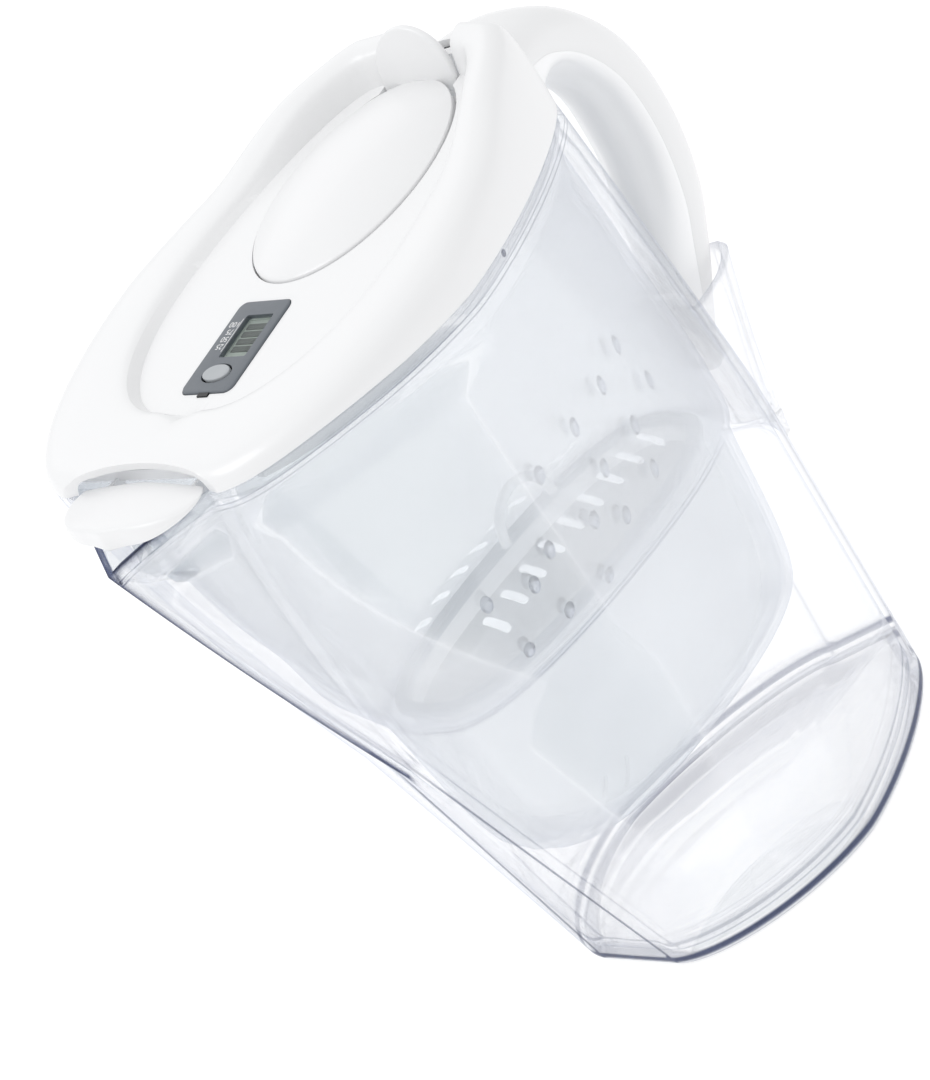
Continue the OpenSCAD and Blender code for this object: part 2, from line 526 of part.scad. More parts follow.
// ---- Flaps ----
function dome_ring(s, z) = [for (q = oval(dome_length * s, dome_width * s))
  [dome_x + q.x, q.y, recess(dome_x + q.x) + z]];
module fill_flap() color("white") translate([-origin_x, 0, 0]) {
  sock(concat(
    [for (s = [0.3, 0.6, 0.84, 0.95]) dome_ring(s, dome_rise * (1 - pow(s, 2.2)) - 2)],
    [dome_ring(0.95, -2.2), dome_ring(1, -2.2), dome_ring(1, 0.6)],
    [for (s = [0.98, 0.93, 0.84, 0.7, 0.52, 0.32, 0.14]) dome_ring(s, dome_rise * (1 - pow(s, 2.2)) + 0.6)]));
  // thumb tab
  translate([hinge.x, 0, hinge.y]) rotate([0, tab_lean, 0]) rotate([90, 0, 90])
    linear_extrude(tab_thickness, center = true) difference() {
      union() {
        translate([0, tab_height + 5.5 - tab_width / 2]) circle(tab_width / 2, $fn = 64);
        translate([-tab_width / 2, -1]) square([tab_width, tab_height + 6.5 - tab_width / 2]);
      }
      translate([-tab_width, -2 * tab_width - 1]) square(2 * tab_width);
    }
  // hinge boss and its two pins
  translate([hinge.x, 0, hinge.y]) rotate([90, 0, 0]) {
    cylinder(tab_width - 2, r = hinge_radius + 1, center = true, $fn = 48);
    cylinder(tab_width + 5, r = hinge_radius, center = true, $fn = 48);
  }
}
function pour_low(x) = rim_z(x) + 0.5 + 2 * ramp(-x, 62, 81);
function pour_top(x, y) = rim_height - 0.4 - 0.0022 * y * y;
pour_plan = plan(-81, -77, 14, -65, 27.6, -59.5, 25, -58, 2, 2);
function pour_ring(s, p, drop = 0) = [for (q = pour_plan) let(x = mix(-66, q.x, s), y = q.y * s)
  [x, y, mix(pour_low(x), pour_top(x, y), p) - drop]];
module spout_flap() color("white") translate([-origin_x, 0, 0]) {
  sock(concat([for (s = [0.3, 0.7, 0.9]) pour_ring(s, 1, 1.8)],
    [pour_ring(0.93, 0), pour_ring(1, 0), pour_ring(1.0, 0.45)],
    [pour_ring(0.975, 0.8), pour_ring(0.93, 0.94)], [for (s = [0.8, 0.5, 0.2]) pour_ring(s, 1)]));
  for (side = [-1, 1]) translate([pour_hinge.x, side * 16, pour_hinge.y]) {
    translate([-6, -1.6, -1.2]) cube([3.6, 3.2, 4.9]);
    translate([-6, -1.6, -1.2]) cube([6, 3.2, 2.4]);
    rotate([90, 0, 0]) cylinder(3.2, r = 1.6, center = true, $fn = 40);
    rotate([90, 0, 0]) translate([0, 0, -side * 2.25])
      cylinder(3.7, r = pour_radius, center = true, $fn = 40);
  }
}

// ---- Timer ----
board_top = -timer_depth + 4.6;
stem_z = board_top + 0.4 + button_travel;
module in_timer() translate([-origin_x, 0, 0]) on_recess(timer_x) children();
module timer_housing() color([0.42, 0.45, 0.49]) in_timer() difference() {
  translate([0, 0, -timer_depth]) round_box([timer_length, timer_width], 3, timer_depth + 0.6);
  translate([0, 0, -timer_depth - 1]) round_box([timer_length - 2.4, timer_width - 2.4], 2, timer_depth);
  translate([display_x, 0, -2]) round_box(display_size, 1, 4);
  translate([button_x, 0, -2]) linear_extrude(4) polygon(oval(button_size.x + 0.8, button_size.y + 0.8));
}
module timer_back() color([0.4, 0.42, 0.46]) in_timer() translate([0, 0, -timer_depth])
  round_box([timer_length - 2.8, timer_width - 2.8], 1.8, 1.2);
module timer_board() color([0.1, 0.35, 0.2]) in_timer() translate([0, 0, -timer_depth + 3.6])
  round_box([timer_length - 4, timer_width - 4], 1, 1);
module timer_battery() color("silver") in_timer() translate([display_x, 0, -timer_depth + 1.4])
  cylinder(2, r = 6, $fn = 64);
module timer_display() color([0.68, 0.73, 0.69]) in_timer() translate([display_x, 0, -2.6])
  round_box([display_size.x + 1.4, display_size.y + 1.4], 1, 1.4);
module timer_bars() color([0.2, 0.22, 0.22]) in_timer() for (k = [0:3])
  translate([display_x - 4.4 + 2.9 * k, -1.6, -1.2]) translate([-1.1, -4.6, 0]) cube([2.2, 9.2, 0.25]);
module timer_lens() color([0.8, 0.84, 0.84, 0.4]) in_timer() translate([display_x, 0, -0.6])
  round_box([display_size.x - 0.4, display_size.y - 0.4], 0.9, 1);
module timer_contact() color("silver") in_timer() translate([button_x, 0, board_top])
  rotate_extrude($fn = 48) polygon([[0.4, 0.2], [2.8, 0.05], [3.2, 0], [3.2, 0.12], [0.4, 0.35]]);
module timer_button() color([0.4, 0.43, 0.47]) in_timer() translate([button_x, 0, 0]) {
  translate([0, 0, -2.4]) linear_extrude(3.6) polygon(oval(button_size.x, button_size.y));
  // stem, one travel above the contact
  translate([0, 0, stem_z]) cylinder(-2.2 - stem_z, r = 1.2, $fn = 32);
}
module timer_latch() color([0.08, 0.08, 0.09]) in_timer()
  translate([-timer_length / 2 - 1.4, -2.2, -1]) cube([1.4, 4.4, 1.4]);

jug_base();
jug_body();
jug_socket();
jug_lug();
handle_outer();
handle_inner();
funnel();
cartridge_cup();
cartridge_cap();
cartridge_sieve();
cartridge_media();
cartridge_seal();
cartridge_loop();
lid_shell();
lid_frame();
fill_flap();
spout_flap();
timer_housing();
timer_back();
timer_board();
timer_battery();
timer_display();
timer_bars();
timer_lens();
timer_contact();
timer_button();
timer_latch();
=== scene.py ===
"""Filter jug with a flip-up filling flap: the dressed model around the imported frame."""
import bpy, bmesh, math
import numpy as np
from mathutils import Euler, Matrix, Vector
from mathutils.bvhtree import BVHTree


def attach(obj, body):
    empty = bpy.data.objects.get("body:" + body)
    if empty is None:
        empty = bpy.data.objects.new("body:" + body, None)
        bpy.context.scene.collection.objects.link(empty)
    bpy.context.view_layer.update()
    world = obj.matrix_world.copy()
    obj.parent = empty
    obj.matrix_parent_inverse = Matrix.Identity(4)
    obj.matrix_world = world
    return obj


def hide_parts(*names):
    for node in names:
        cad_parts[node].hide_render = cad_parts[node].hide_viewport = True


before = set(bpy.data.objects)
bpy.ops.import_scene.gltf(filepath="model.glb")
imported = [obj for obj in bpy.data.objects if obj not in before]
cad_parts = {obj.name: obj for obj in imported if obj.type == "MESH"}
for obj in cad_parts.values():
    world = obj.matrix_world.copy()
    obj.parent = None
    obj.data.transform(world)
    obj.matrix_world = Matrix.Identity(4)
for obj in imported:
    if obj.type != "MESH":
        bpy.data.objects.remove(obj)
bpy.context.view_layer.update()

# ---- Camera: the photograph's angle, in metres and degrees, with the lens in millimetres ----
CAM_AT = Vector((-0.74590, -0.97076, 0.74083))
CAM_TURN = (60.196, 28.144, -51.905)
CAM_LENS, CAM_SENSOR = 148.83, 36.0
CAM_ROT = Euler([math.radians(a) for a in CAM_TURN]).to_matrix()
cam_data = bpy.data.cameras.new("camera")
cam_data.sensor_fit, cam_data.sensor_height, cam_data.lens = "VERTICAL", CAM_SENSOR, CAM_LENS
cam_data.clip_end = 20
camera = bpy.data.objects.new("camera", cam_data)
bpy.context.scene.collection.objects.link(camera)
camera.matrix_world = Matrix.Translation(CAM_AT) @ CAM_ROT.to_4x4()
bpy.context.scene.camera = camera

# ---- Named sizes, in millimetres, as in the part's source ----
RIM, BASE_L, BASE_W, RIM_W = 244.0, 162.0, 109.0, 143.6
OVERHANG, DROP, FRONT_SPLIT, REAR_SPLIT, FACET = 86.0, 12.5, 117.0, 92.0, 32.0
JUG_WALL, REACH, GRIP, HANDLE_WALL = 2.6, 35.0, 29.0, 2.4
FUNNEL_WALL, WELL_Z, WELL_W = 2.0, 50.0, 66.0
LID_WALL, DOME_L, DOME_W, DOME_RISE = 2.2, 84.0, 62.0, 8.0
TAB_H, TAB_W, TIMER_L, TIMER_W = 19.0, 31.0, 37.0, 22.0
REAR_X, LEAN = BASE_L - 16, 28.0
BACK = REAR_X - LEAN
ORIGIN = (REAR_X + REACH - OVERHANG) / 2
GAP, NOSE, ARC = 0.3, 8, 26
SPLIT_X, SPLIT_HALF, SHOULDER_RUN, SHOULDER_HALF, KEEL_BOW = 37.0, 4.0, 25.2, 30.0, 1.2
RIM_WIDE_X, BASE_WIDE_X = 19.5, 63.0
REAR_HALF, REAR_TURN, REAR_SPREAD, REAR_BULGE = 15.5, 110.0, 16.0, 4.0
LEDGE, LEDGE_WALL, RIM_WALL = 5.0, 3.4, 1.8
SOCKET_TOP, SOCKET_WALL, SOCKET_RISE, SOCKET_LEAN, LATCH_Z = 150.0, 2.4, 60.0, 16.5, 126.0
SLOPE = 0.135
RECESS_Z = RIM + 7.4
HINGE_X = BACK - 15
DOME_X = HINGE_X + 1 - DOME_L / 2
PIN_X, PIN_Z = -57.0, RIM - 5.7
TIMER_X = BACK - 124
BOWL_Z, CUP_TOP = 118.0, 120.0
CUP_Z = WELL_Z + FUNNEL_WALL
CAP_Z, CAP_RISE = CUP_TOP + 2.4, 15.0


# ---- Forms shared with the part's source ----
def mix(a, b, t):
    """The value a share t of the way from a to b."""
    return a + (b - a) * t


def ramp(v, lo, hi):
    """0 at lo, 1 at hi, straight between."""
    return min(1.0, max(0.0, (v - lo) / (hi - lo)))


def smooth(t):
    """Eases a share in and out."""
    return t * t * (3 - 2 * t)


def cosd(a):
    return math.cos(math.radians(a))


def sind(a):
    return math.sin(math.radians(a))


def recess(x):
    """Height of the lid's sunk face."""
    return RECESS_Z + SLOPE * x


def rim_z(x):
    """Height of the jug's rim, which sags towards the spout."""
    return RIM - DROP * ramp(-x, 20, OVERHANG) ** 3


def up(t):
    """Height a share of the way from the front corner's start to the rim."""
    return mix(FRONT_SPLIT, RIM, t)


def bowl_up(t):
    """Height a share of the way up the funnel's bowl."""
    return mix(BOWL_Z, RIM, t)


def plan(n, f, wf, m, wm, r, wr, b, pf=2.0, pr=2.0, nose=NOSE, arc=ARC):
    """Closed outline, symmetric about Y = 0, from the nose round the near side to the back."""
    half = [(mix(n, f, i / nose), mix(0, wf, i / nose)) for i in range(nose)]
    for i in range(arc):
        a = 90 * i / arc
        half.append((m + (f - m) * max(0, cosd(a)) ** (2 / pf), wf + (wm - wf) * sind(a) ** (2 / pf)))
    for i in range(arc):
        a = 90 * i / arc
        half.append((m + (r - m) * sind(a) ** (2 / pr), wr + (wm - wr) * max(0, cosd(a)) ** (2 / pr)))
    half += [(mix(r, b, i / nose), mix(wr, 0, i / nose)) for i in range(nose + 1)]
    return np.array([(x, -y) for x, y in half] + [half[i] for i in range(len(half) - 2, 0, -1)])


def inset(pts, d):
    """Outline pts moved inwards by d."""
    pts = np.asarray(pts, float)[:, :2]
    step = np.roll(pts, -1, 0) - pts
    step /= np.maximum(np.linalg.norm(step, axis=1), 1e-6)[:, None]
    after = np.stack([-step[:, 1], step[:, 0]], 1)
    before = np.roll(after, 1, 0)
    mid = before + after
    mid /= np.maximum(np.linalg.norm(mid, axis=1), 1e-6)[:, None]
    return pts + mid * (d / np.maximum(0.55, (mid * after).sum(1)))[:, None]


def lift(pts, z):
    """Outline pts placed at height z."""
    z = np.broadcast_to(np.asarray(z, float), (len(pts),))
    return np.column_stack([np.asarray(pts)[:, :2], z])


def spline(p, t):
    """Point at t on a smooth curve through the rows p."""
    k = min(len(p) - 2, int(t))
    u = t - k
    a, b, c, d = p[max(0, k - 1)], p[k], p[k + 1], p[min(len(p) - 1, k + 2)]
    return b + u * ((c - a) + u * ((2 * a - 5 * b + 4 * c - d) + u * (3 * b - a - 3 * c + d))) / 2


def dense(rows, n):
    """n + 1 rows on a smooth curve through rows."""
    rows = np.array(rows, float)
    return [spline(rows, (len(rows) - 1) * i / n) for i in range(n + 1)]


# ---- Mesh helpers ----
def add_mesh(name, verts, faces, sharp=30.0):
    """A mesh object from points in the part's own millimetres."""
    v = np.asarray(verts, float).reshape(-1, 3).copy()
    v[:, 0] -= ORIGIN
    mesh = bpy.data.meshes.new(name)
    mesh.from_pydata((v / 1000).tolist(), [], [list(map(int, f)) for f in faces])
    mesh.validate()
    obj = bpy.data.objects.new(name, mesh)
    bpy.context.scene.collection.objects.link(obj)
    tidy(obj, sharp)
    return obj


MERGE = 0.00001


def tidy(obj, sharp=30.0):
    """Closes doubled points and turns all faces outwards."""
    bm = bmesh.new()
    bm.from_mesh(obj.data)
    bmesh.ops.remove_doubles(bm, verts=bm.verts, dist=MERGE)
    bmesh.ops.dissolve_degenerate(bm, edges=bm.edges, dist=MERGE)
    bmesh.ops.recalc_face_normals(bm, faces=bm.faces)
    bm.to_mesh(obj.data)
    bm.free()
    shade(obj, sharp)


def shade(obj, sharp=30.0):
    """Smooth shading, with the edges above sharp degrees left hard."""
    obj.data.shade_smooth()
    obj.data.set_sharp_from_angle(angle=math.radians(sharp))


def sock(name, rings, closed=False, sharp=30.0):
    """Solid between stacked rings. closed joins the last ring to the first instead of capping them."""
    rings = [np.asarray(r, float) for r in rings]
    n, count = len(rings[0]), len(rings)
    faces = []
    for k in range(count if closed else count - 1):
        a0, b0 = k * n, ((k + 1) % count) * n
        faces += [(a0 + i, b0 + i, b0 + (i + 1) % n, a0 + (i + 1) % n) for i in range(n)]
    verts = np.concatenate(rings)
    if not closed:
        ends = [rings[0].mean(0), rings[-1].mean(0)]
        verts = np.concatenate([verts, ends])
        faces += [(n * count, i, (i + 1) % n) for i in range(n)]
        faces += [(n * count + 1, n * (count - 1) + (i + 1) % n, n * (count - 1) + i) for i in range(n)]
    return add_mesh(name, verts, faces, sharp)


def apply_modifiers(obj):
    """Makes the modified mesh the object's own."""
    bpy.context.view_layer.update()
    got = obj.evaluated_get(bpy.context.evaluated_depsgraph_get())
    mesh = bpy.data.meshes.new_from_object(got)
    obj.modifiers.clear()
    old, obj.data = obj.data, mesh
    bpy.data.meshes.remove(old)
    return obj


def combine(obj, tool, how="DIFFERENCE", sharp=30.0):
    """Cuts tool from obj, or adds it, and removes tool."""
    m = obj.modifiers.new("cut", "BOOLEAN")
    m.operation, m.solver, m.object = how, "EXACT", tool
    apply_modifiers(obj)
    bpy.data.objects.remove(tool)
    tidy(obj, sharp)
    return obj


def soften(obj, width, angle=35.0, segments=2, sharp=30.0, where=None):
    """Rounds the edges sharper than angle, by width in millimetres.

    where(x, y, z), if given, says which points may be rounded.
    """
    m = obj.modifiers.new("soften", "BEVEL")
    m.width, m.segments, m.limit_method = width / 1000, segments, "ANGLE"
    m.angle_limit, m.use_clamp_overlap, m.miter_outer = math.radians(angle), True, "MITER_ARC"
    if where:
        m.limit_method = "WEIGHT"
        bm = bmesh.new()
        bm.from_mesh(obj.data)
        layer = bm.edges.layers.float.new("bevel_weight_edge")
        chosen = [where(v.co.x * 1000 + ORIGIN, v.co.y * 1000, v.co.z * 1000) for v in bm.verts]
        for e in bm.edges:
            is_sharp = e.calc_face_angle(0) > math.radians(angle)
            e[layer] = float(is_sharp and all(chosen[v.index] for v in e.verts))
        bm.to_mesh(obj.data)
        bm.free()
    apply_modifiers(obj)
    shade(obj, sharp)
    return obj


def even_normals(obj):
    """Keeps flat faces flat-looking beside the rounded ones."""
    m = obj.modifiers.new("normals", "WEIGHTED_NORMAL")
    m.keep_sharp, m.weight = True, 80
    return apply_modifiers(obj)


def join(obj, *others):
    """Adds the other meshes to obj."""
    bm = bmesh.new()
    for o in (obj,) + others:
        bm.from_mesh(o.data)
    bm.to_mesh(obj.data)
    bm.free()
    for o in others:
        bpy.data.objects.remove(o)
    shade(obj)
    return obj


def extrude(name, outline, frame_at, depth0, depth1, sharp=30.0):
    """A 2-D outline (u, v) swept along w. frame_at maps (u, v, w) to the part's millimetres."""
    outline = np.asarray(outline, float)
    n = len(outline)
    verts = [frame_at(u, v, w) for w in (depth0, depth1) for u, v in outline]
    faces = [(i, (i + 1) % n, n + (i + 1) % n, n + i) for i in range(n)]
    faces += [tuple(range(n - 1, -1, -1)), tuple(range(n, 2 * n))]
    return add_mesh(name, verts, faces, sharp)


def on_recess(x0):
    """Frame on the lid's recess: u along it, v across, w square to it."""
    c, s = 1 / math.hypot(1, SLOPE), SLOPE / math.hypot(1, SLOPE)
    return lambda u, v, w: (x0 + c * u - s * w, v, recess(x0) + s * u + c * w)


def along_y(u, v, w):
    """Frame of an outline in the XZ plane, swept along Y."""
    return (u, w, v)


def oval(long, wide, n=96, stretch=0.0):
    """Oval outline, made longer by stretch towards +u."""
    pts = [(cosd(360 * i / n) * long / 2, sind(360 * i / n) * wide / 2) for i in range(n)]
    return [(x + stretch * max(0, 2 * x / long), y) for x, y in pts]


def round_rect(size, r, n=8):
    """Rectangle outline with corners of radius r."""
    pts = []
    for cx, cy, a0 in ((1, 1, 0), (-1, 1, 90), (-1, -1, 180), (1, -1, 270)):
        for i in range(n + 1):
            a = a0 + 90 * i / n
            pts.append((cx * (size[0] / 2 - r) + r * cosd(a), cy * (size[1] / 2 - r) + r * sind(a)))
    return pts


def rod(name, points, radius, n=24, ease=4, sharp=40.0):
    """Round bar along points, rounded off at both ends over ease rings."""
    pts = [Vector(p) for p in points]
    bulge = 0.35 * radius
    rings = []
    for k, p in enumerate(pts):
        d = (pts[min(k + 1, len(pts) - 1)] - pts[max(k - 1, 0)]).normalized()
        side = d.cross(Vector((0.3, 0.7, 0.65))).normalized()
        other = d.cross(side)
        ends = [(radius, 0.0)]
        if k == 0:
            turns = [90 * j / ease for j in range(1, ease + 1)]
            ends = [(radius * sind(a), -bulge * cosd(a)) for a in turns]
        elif k == len(pts) - 1:
            turns = [90 * j / ease for j in range(ease)]
            ends = [(radius * cosd(a), bulge * sind(a)) for a in turns]
        for r, shift in ends:
            c = p + d * shift
            angles = [360 * i / n for i in range(n)]
            rings.append([c + side * (r * cosd(a)) + other * (r * sind(a)) for a in angles])
    return sock(name, rings, sharp=sharp)


# ---- Materials ----
def new_material(name):
    """An empty material, its nodes and its output."""
    m = bpy.data.materials.new(name)
    m.use_nodes = True
    t = m.node_tree
    t.nodes.clear()
    out = t.nodes.new("ShaderNodeOutputMaterial")
    return m, t, out


def node(t, kind, **values):
    """A new node, with its inputs or settings set from values."""
    n = t.nodes.new("ShaderNode" + kind)
    for key, v in values.items():
        if key in n.inputs:
            n.inputs[key].default_value = v
        else:
            setattr(n, key, v)
    return n


def link(t, a, output, b, value):
    """Leads an output of node a to an input of node b."""
    t.links.new(a.outputs[output], b.inputs[value])


def noise(t, scale, detail, **values):
    """A noise texture fixed to the piece."""
    tex = node(t, "TexNoise", Scale=scale, Detail=detail, **values)
    t.links.new(node(t, "TexCoord").outputs["Object"], tex.inputs["Vector"])
    return tex


def spread(t, tex, low, high):
    """A value that drifts between low and high with the texture."""
    r = node(t, "MapRange", **{"To Min": low, "To Max": high})
    link(t, tex, "Fac", r, "Value")
    return r


def noise_bump(t, scale, strength, distance):
    """Fine unevenness of moulded plastic."""
    tex = noise(t, scale, 3.0, Roughness=0.55)
    bump = node(t, "Bump", Strength=strength, Distance=distance)
    link(t, tex, "Fac", bump, "Height")
    return tex, bump


def shifted(t, tex, low, high, a, b):
    """A colour that drifts between a and b with the texture."""
    r = node(t, "ValToRGB")
    r.color_ramp.elements[0].position, r.color_ramp.elements[1].position = low, high
    r.color_ramp.elements[0].color, r.color_ramp.elements[1].color = (*a, 1), (*b, 1)
    link(t, tex, "Fac", r, "Fac")
    return r


def plastic(name, colour, rough=0.3, coat=0.0, drift=0.02, bump=0.12, scale=90.0):
    """Moulded plastic: slightly uneven colour, gloss and surface."""
    m, t, out = new_material(name)
    p = node(t, "BsdfPrincipled", Roughness=rough, **{"Coat Weight": coat, "Coat Roughness": 0.08})
    tex, b = noise_bump(t, scale, bump, 0.0002)
    slow = noise(t, 14.0, 2.0)
    lo = tuple(max(0, c - drift) for c in colour)
    hi = tuple(min(1, c + drift * 0.6) for c in colour)
    col = shifted(t, slow, 0.3, 0.7, lo, hi)
    link(t, col, "Color", p, "Base Color")
    r = spread(t, tex, rough * 0.85, rough * 1.2)
    link(t, r, "Result", p, "Roughness")
    link(t, b, "Normal", p, "Normal")
    link(t, p, "BSDF", out, "Surface")
    return m


def clear(name, face, edge, deep, power=2.2, haze=0.0, haze_colour=(0.9, 0.92, 0.95), painted_glow=0.0,
          gloss=0.06, mirror=0.5):
    """Clear plastic. Its tint is face where it is seen square and edge where it is seen edge on.

    Where the vertices' "edge" value is high, the tint is deep: painted shade, for the dark lines along the
    clear plastic's edges and corners.
    """
    m, t, out = new_material(name)
    layer = node(t, "LayerWeight", Blend=0.5)
    power_n = node(t, "Math", operation="POWER")
    power_n.inputs[1].default_value = power
    link(t, layer, "Facing", power_n, 0)
    tint = node(t, "Mix", data_type="RGBA")
    tint.inputs["A"].default_value, tint.inputs["B"].default_value = (*face, 1), (*edge, 1)
    link(t, power_n, 0, tint, "Factor")
    # Painted shade: the tint turns deep where the vertices' edge value is high, drawing dark lines along
    # edges and corners.
    attr = node(t, "Attribute", attribute_name="edge")
    core = node(t, "Math", operation="POWER")
    core.inputs[1].default_value = 3.0
    link(t, attr, "Fac", core, 0)
    edge_shade = node(t, "Mix", data_type="RGBA")
    edge_shade.inputs["B"].default_value = (*deep, 1)
    link(t, core, 0, edge_shade, "Factor")
    link(t, tint, "Result", edge_shade, "A")
    passing = node(t, "BsdfTransparent")
    link(t, edge_shade, "Result", passing, "Color")
    behind = passing
    if haze:
        # Painted light: the milky part also glows in its own colour, standing in for light scattered inside
        # the plastic.
        milk = (*haze_colour, 1)
        haze_and_glow = node(t, "BsdfPrincipled", Roughness=0.5,
                     **{"Base Color": milk, "Emission Color": milk, "Emission Strength": painted_glow})
        milky = node(t, "MixShader", Fac=haze)
        link(t, passing, 0, milky, 1)
        link(t, haze_and_glow, 0, milky, 2)
        behind = milky
    uneven = spread(t, noise(t, 22.0, 2.0), gloss * 0.6, gloss * 1.4)
    shine = node(t, "BsdfGlossy")
    shine.inputs["Color"].default_value = (0.98, 0.985, 1, 1)
    link(t, uneven, "Result", shine, "Roughness")
    fres = node(t, "Fresnel", IOR=1.5)
    part = node(t, "Math", operation="MULTIPLY")
    part.inputs[1].default_value = mirror
    link(t, fres, 0, part, 0)
    both = node(t, "MixShader")
    link(t, part, 0, both, "Fac")
    link(t, behind, 0, both, 1)
    link(t, shine, 0, both, 2)
    link(t, both, 0, out, "Surface")
    return m


WHITE = plastic("white_gloss", (0.84, 0.842, 0.847), rough=0.3, coat=0.2, drift=0.006, bump=0.02, scale=40.0)
# The inner white is lighter than the outer white: painted light that lifts the handle's hollow and the lid
# frame out of their shade.
WHITE_PAINTED_LIGHTER = plastic("white_inner", (0.94, 0.943, 0.95), rough=0.34, coat=0.1, drift=0.008, bump=0.02, scale=40.0)
# The clear materials' third colour is the deep tint of the painted shade along their edges.
CLEAR = clear("clear_shell", (0.997, 0.9975, 0.998), (0.66, 0.69, 0.76), (0.11, 0.13, 0.22),
              power=9.0, gloss=0.03, mirror=0.5)
# The funnel's and the cartridge's glow is painted light, standing in for light scattered in their milky
# plastic.
FUNNEL = clear("funnel_tint", (0.926, 0.935, 0.941), (0.56, 0.6, 0.69), (0.22, 0.25, 0.35),
               power=5.0, haze=0.13, haze_colour=(0.78, 0.805, 0.825), painted_glow=0.33, gloss=0.1, mirror=0.4)
MARKS = clear("funnel_marks", (0.97, 0.975, 0.985), (0.42, 0.46, 0.56), (0.5, 0.54, 0.64),
              power=1.6, mirror=0.9)
CARTRIDGE = clear("cartridge_body", (0.95, 0.955, 0.96), (0.78, 0.80, 0.83), (0.6, 0.62, 0.66), power=3.0,
                  haze=0.88, haze_colour=(0.83, 0.838, 0.85), painted_glow=0.26, gloss=0.2, mirror=0.35)
CAP = clear("cartridge_top", (0.95, 0.955, 0.96), (0.82, 0.84, 0.87), (0.6, 0.62, 0.66), power=3.0,
            haze=0.7, haze_colour=(0.92, 0.925, 0.93), painted_glow=0.62, gloss=0.2, mirror=0.3)
TIMER = plastic("timer_grey", (0.14, 0.155, 0.175), rough=0.38, drift=0.03, bump=0.12, scale=600.0)
BUTTON = plastic("button_grey", (0.42, 0.44, 0.46), rough=0.35, drift=0.02, bump=0.1, scale=600.0)
BLACK = plastic("black", (0.012, 0.012, 0.014), rough=0.4, drift=0.004)
BOARD = plastic("board", (0.02, 0.12, 0.05), rough=0.5, drift=0.01)
CELL = plastic("cell", (0.55, 0.55, 0.56), rough=0.25, drift=0.03, scale=400)
SEAL = plastic("seal", (0.62, 0.66, 0.71), rough=0.45, drift=0.02)
MEDIA = plastic("media", (0.88, 0.89, 0.9), rough=0.8, drift=0.12, bump=0.9, scale=700)
SIEVE = plastic("sieve", (0.9, 0.91, 0.93), rough=0.5, drift=0.02, bump=0.7, scale=1600)
LCD = plastic("display_grey", (0.33, 0.37, 0.34), rough=0.3, drift=0.015, scale=300)
BARS = plastic("display_bars", (0.05, 0.06, 0.055), rough=0.4, drift=0.01, scale=300)
LENS = clear("lens", (0.96, 0.97, 0.965), (0.9, 0.92, 0.91), (0.7, 0.72, 0.72), gloss=0.05, mirror=0.06)
MARK = plastic("mark", (0.9, 0.9, 0.9), rough=0.5, drift=0.01)


def dress(obj, material, body, *nodes, slot=None):
    """Gives obj its material, the solids it stands for and the body it moves with. slot is not used."""
    obj.data.materials.clear()
    obj.data.materials.append(material)
    if nodes:
        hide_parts(*nodes)
    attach(obj, body)
    return obj


def set_edge(obj, weight):
    """Stores at each vertex how deep the clear plastic's tint is, used for painted shade along its edges and
    corners. weight takes the vertices in millimetres.
    """
    co = np.array([v.co for v in obj.data.vertices]) * 1000
    co[:, 0] += ORIGIN
    a = obj.data.attributes.new("edge", "FLOAT", "POINT")
    a.data.foreach_set("value", np.clip(weight(co), 0, 1).astype(np.float32))


# ---- Jug ----
def jug_plan(z):
    """The jug's outline at height z, before its rim sags."""
    u, v = ramp(z, FRONT_SPLIT, RIM), ramp(z, REAR_TURN, RIM)
    lean = -SPLIT_X * ramp(z, 0, FRONT_SPLIT)
    front = lean - SHOULDER_RUN * (1 - (1 - u) ** 1.57)
    keel = lean - (OVERHANG - SPLIT_X) * u - 4 * KEEL_BOW * u * (1 - u)
    rear = REAR_X - LEAN * v ** 1.3
    if z < REAR_SPLIT:
        back = BASE_L - 2 * z / REAR_SPLIT
    elif z < REAR_SPLIT + 7:
        back = mix(BASE_L - 2, REAR_X, (z - REAR_SPLIT) / 7)
    else:
        back = rear + REAR_BULGE * v ** 2
    half = mix(SPLIT_HALF, SHOULDER_HALF, u)
    if z < FRONT_SPLIT:
        half = mix(FACET / 2, SPLIT_HALF, z / FRONT_SPLIT)
    k = z / RIM
    rear_half = REAR_HALF + REAR_SPREAD * v ** 1.5 + 2 * (1 - ramp(z, 0, REAR_TURN))
    wide_x, wide = mix(BASE_WIDE_X, RIM_WIDE_X, k), mix(BASE_W, RIM_W, k) / 2
    front_round, rear_round = mix(1.7, 1.95, k), mix(1.45, 1.33, k)
    return plan(keel, front, half, wide_x, wide, rear, rear_half, back, front_round, rear_round)


RIM_PLAN = jug_plan(RIM)
RIM_SINK = np.array([rim_z(x) / RIM for x in RIM_PLAN[:, 0]])


def jug_ring(z, d=0.0, drop=0.0):
    """The jug's outline at z, d inside its outer face and drop below."""
    return lift(inset(jug_plan(z), d), z * RIM_SINK - drop)


levels = [2.5, 3.2, 3.9] + [mix(6, REAR_SPLIT, i / 10) for i in range(11)]
levels += [REAR_SPLIT + 7, 107, FRONT_SPLIT] + [up(i / 16) for i in range(1, 16)]

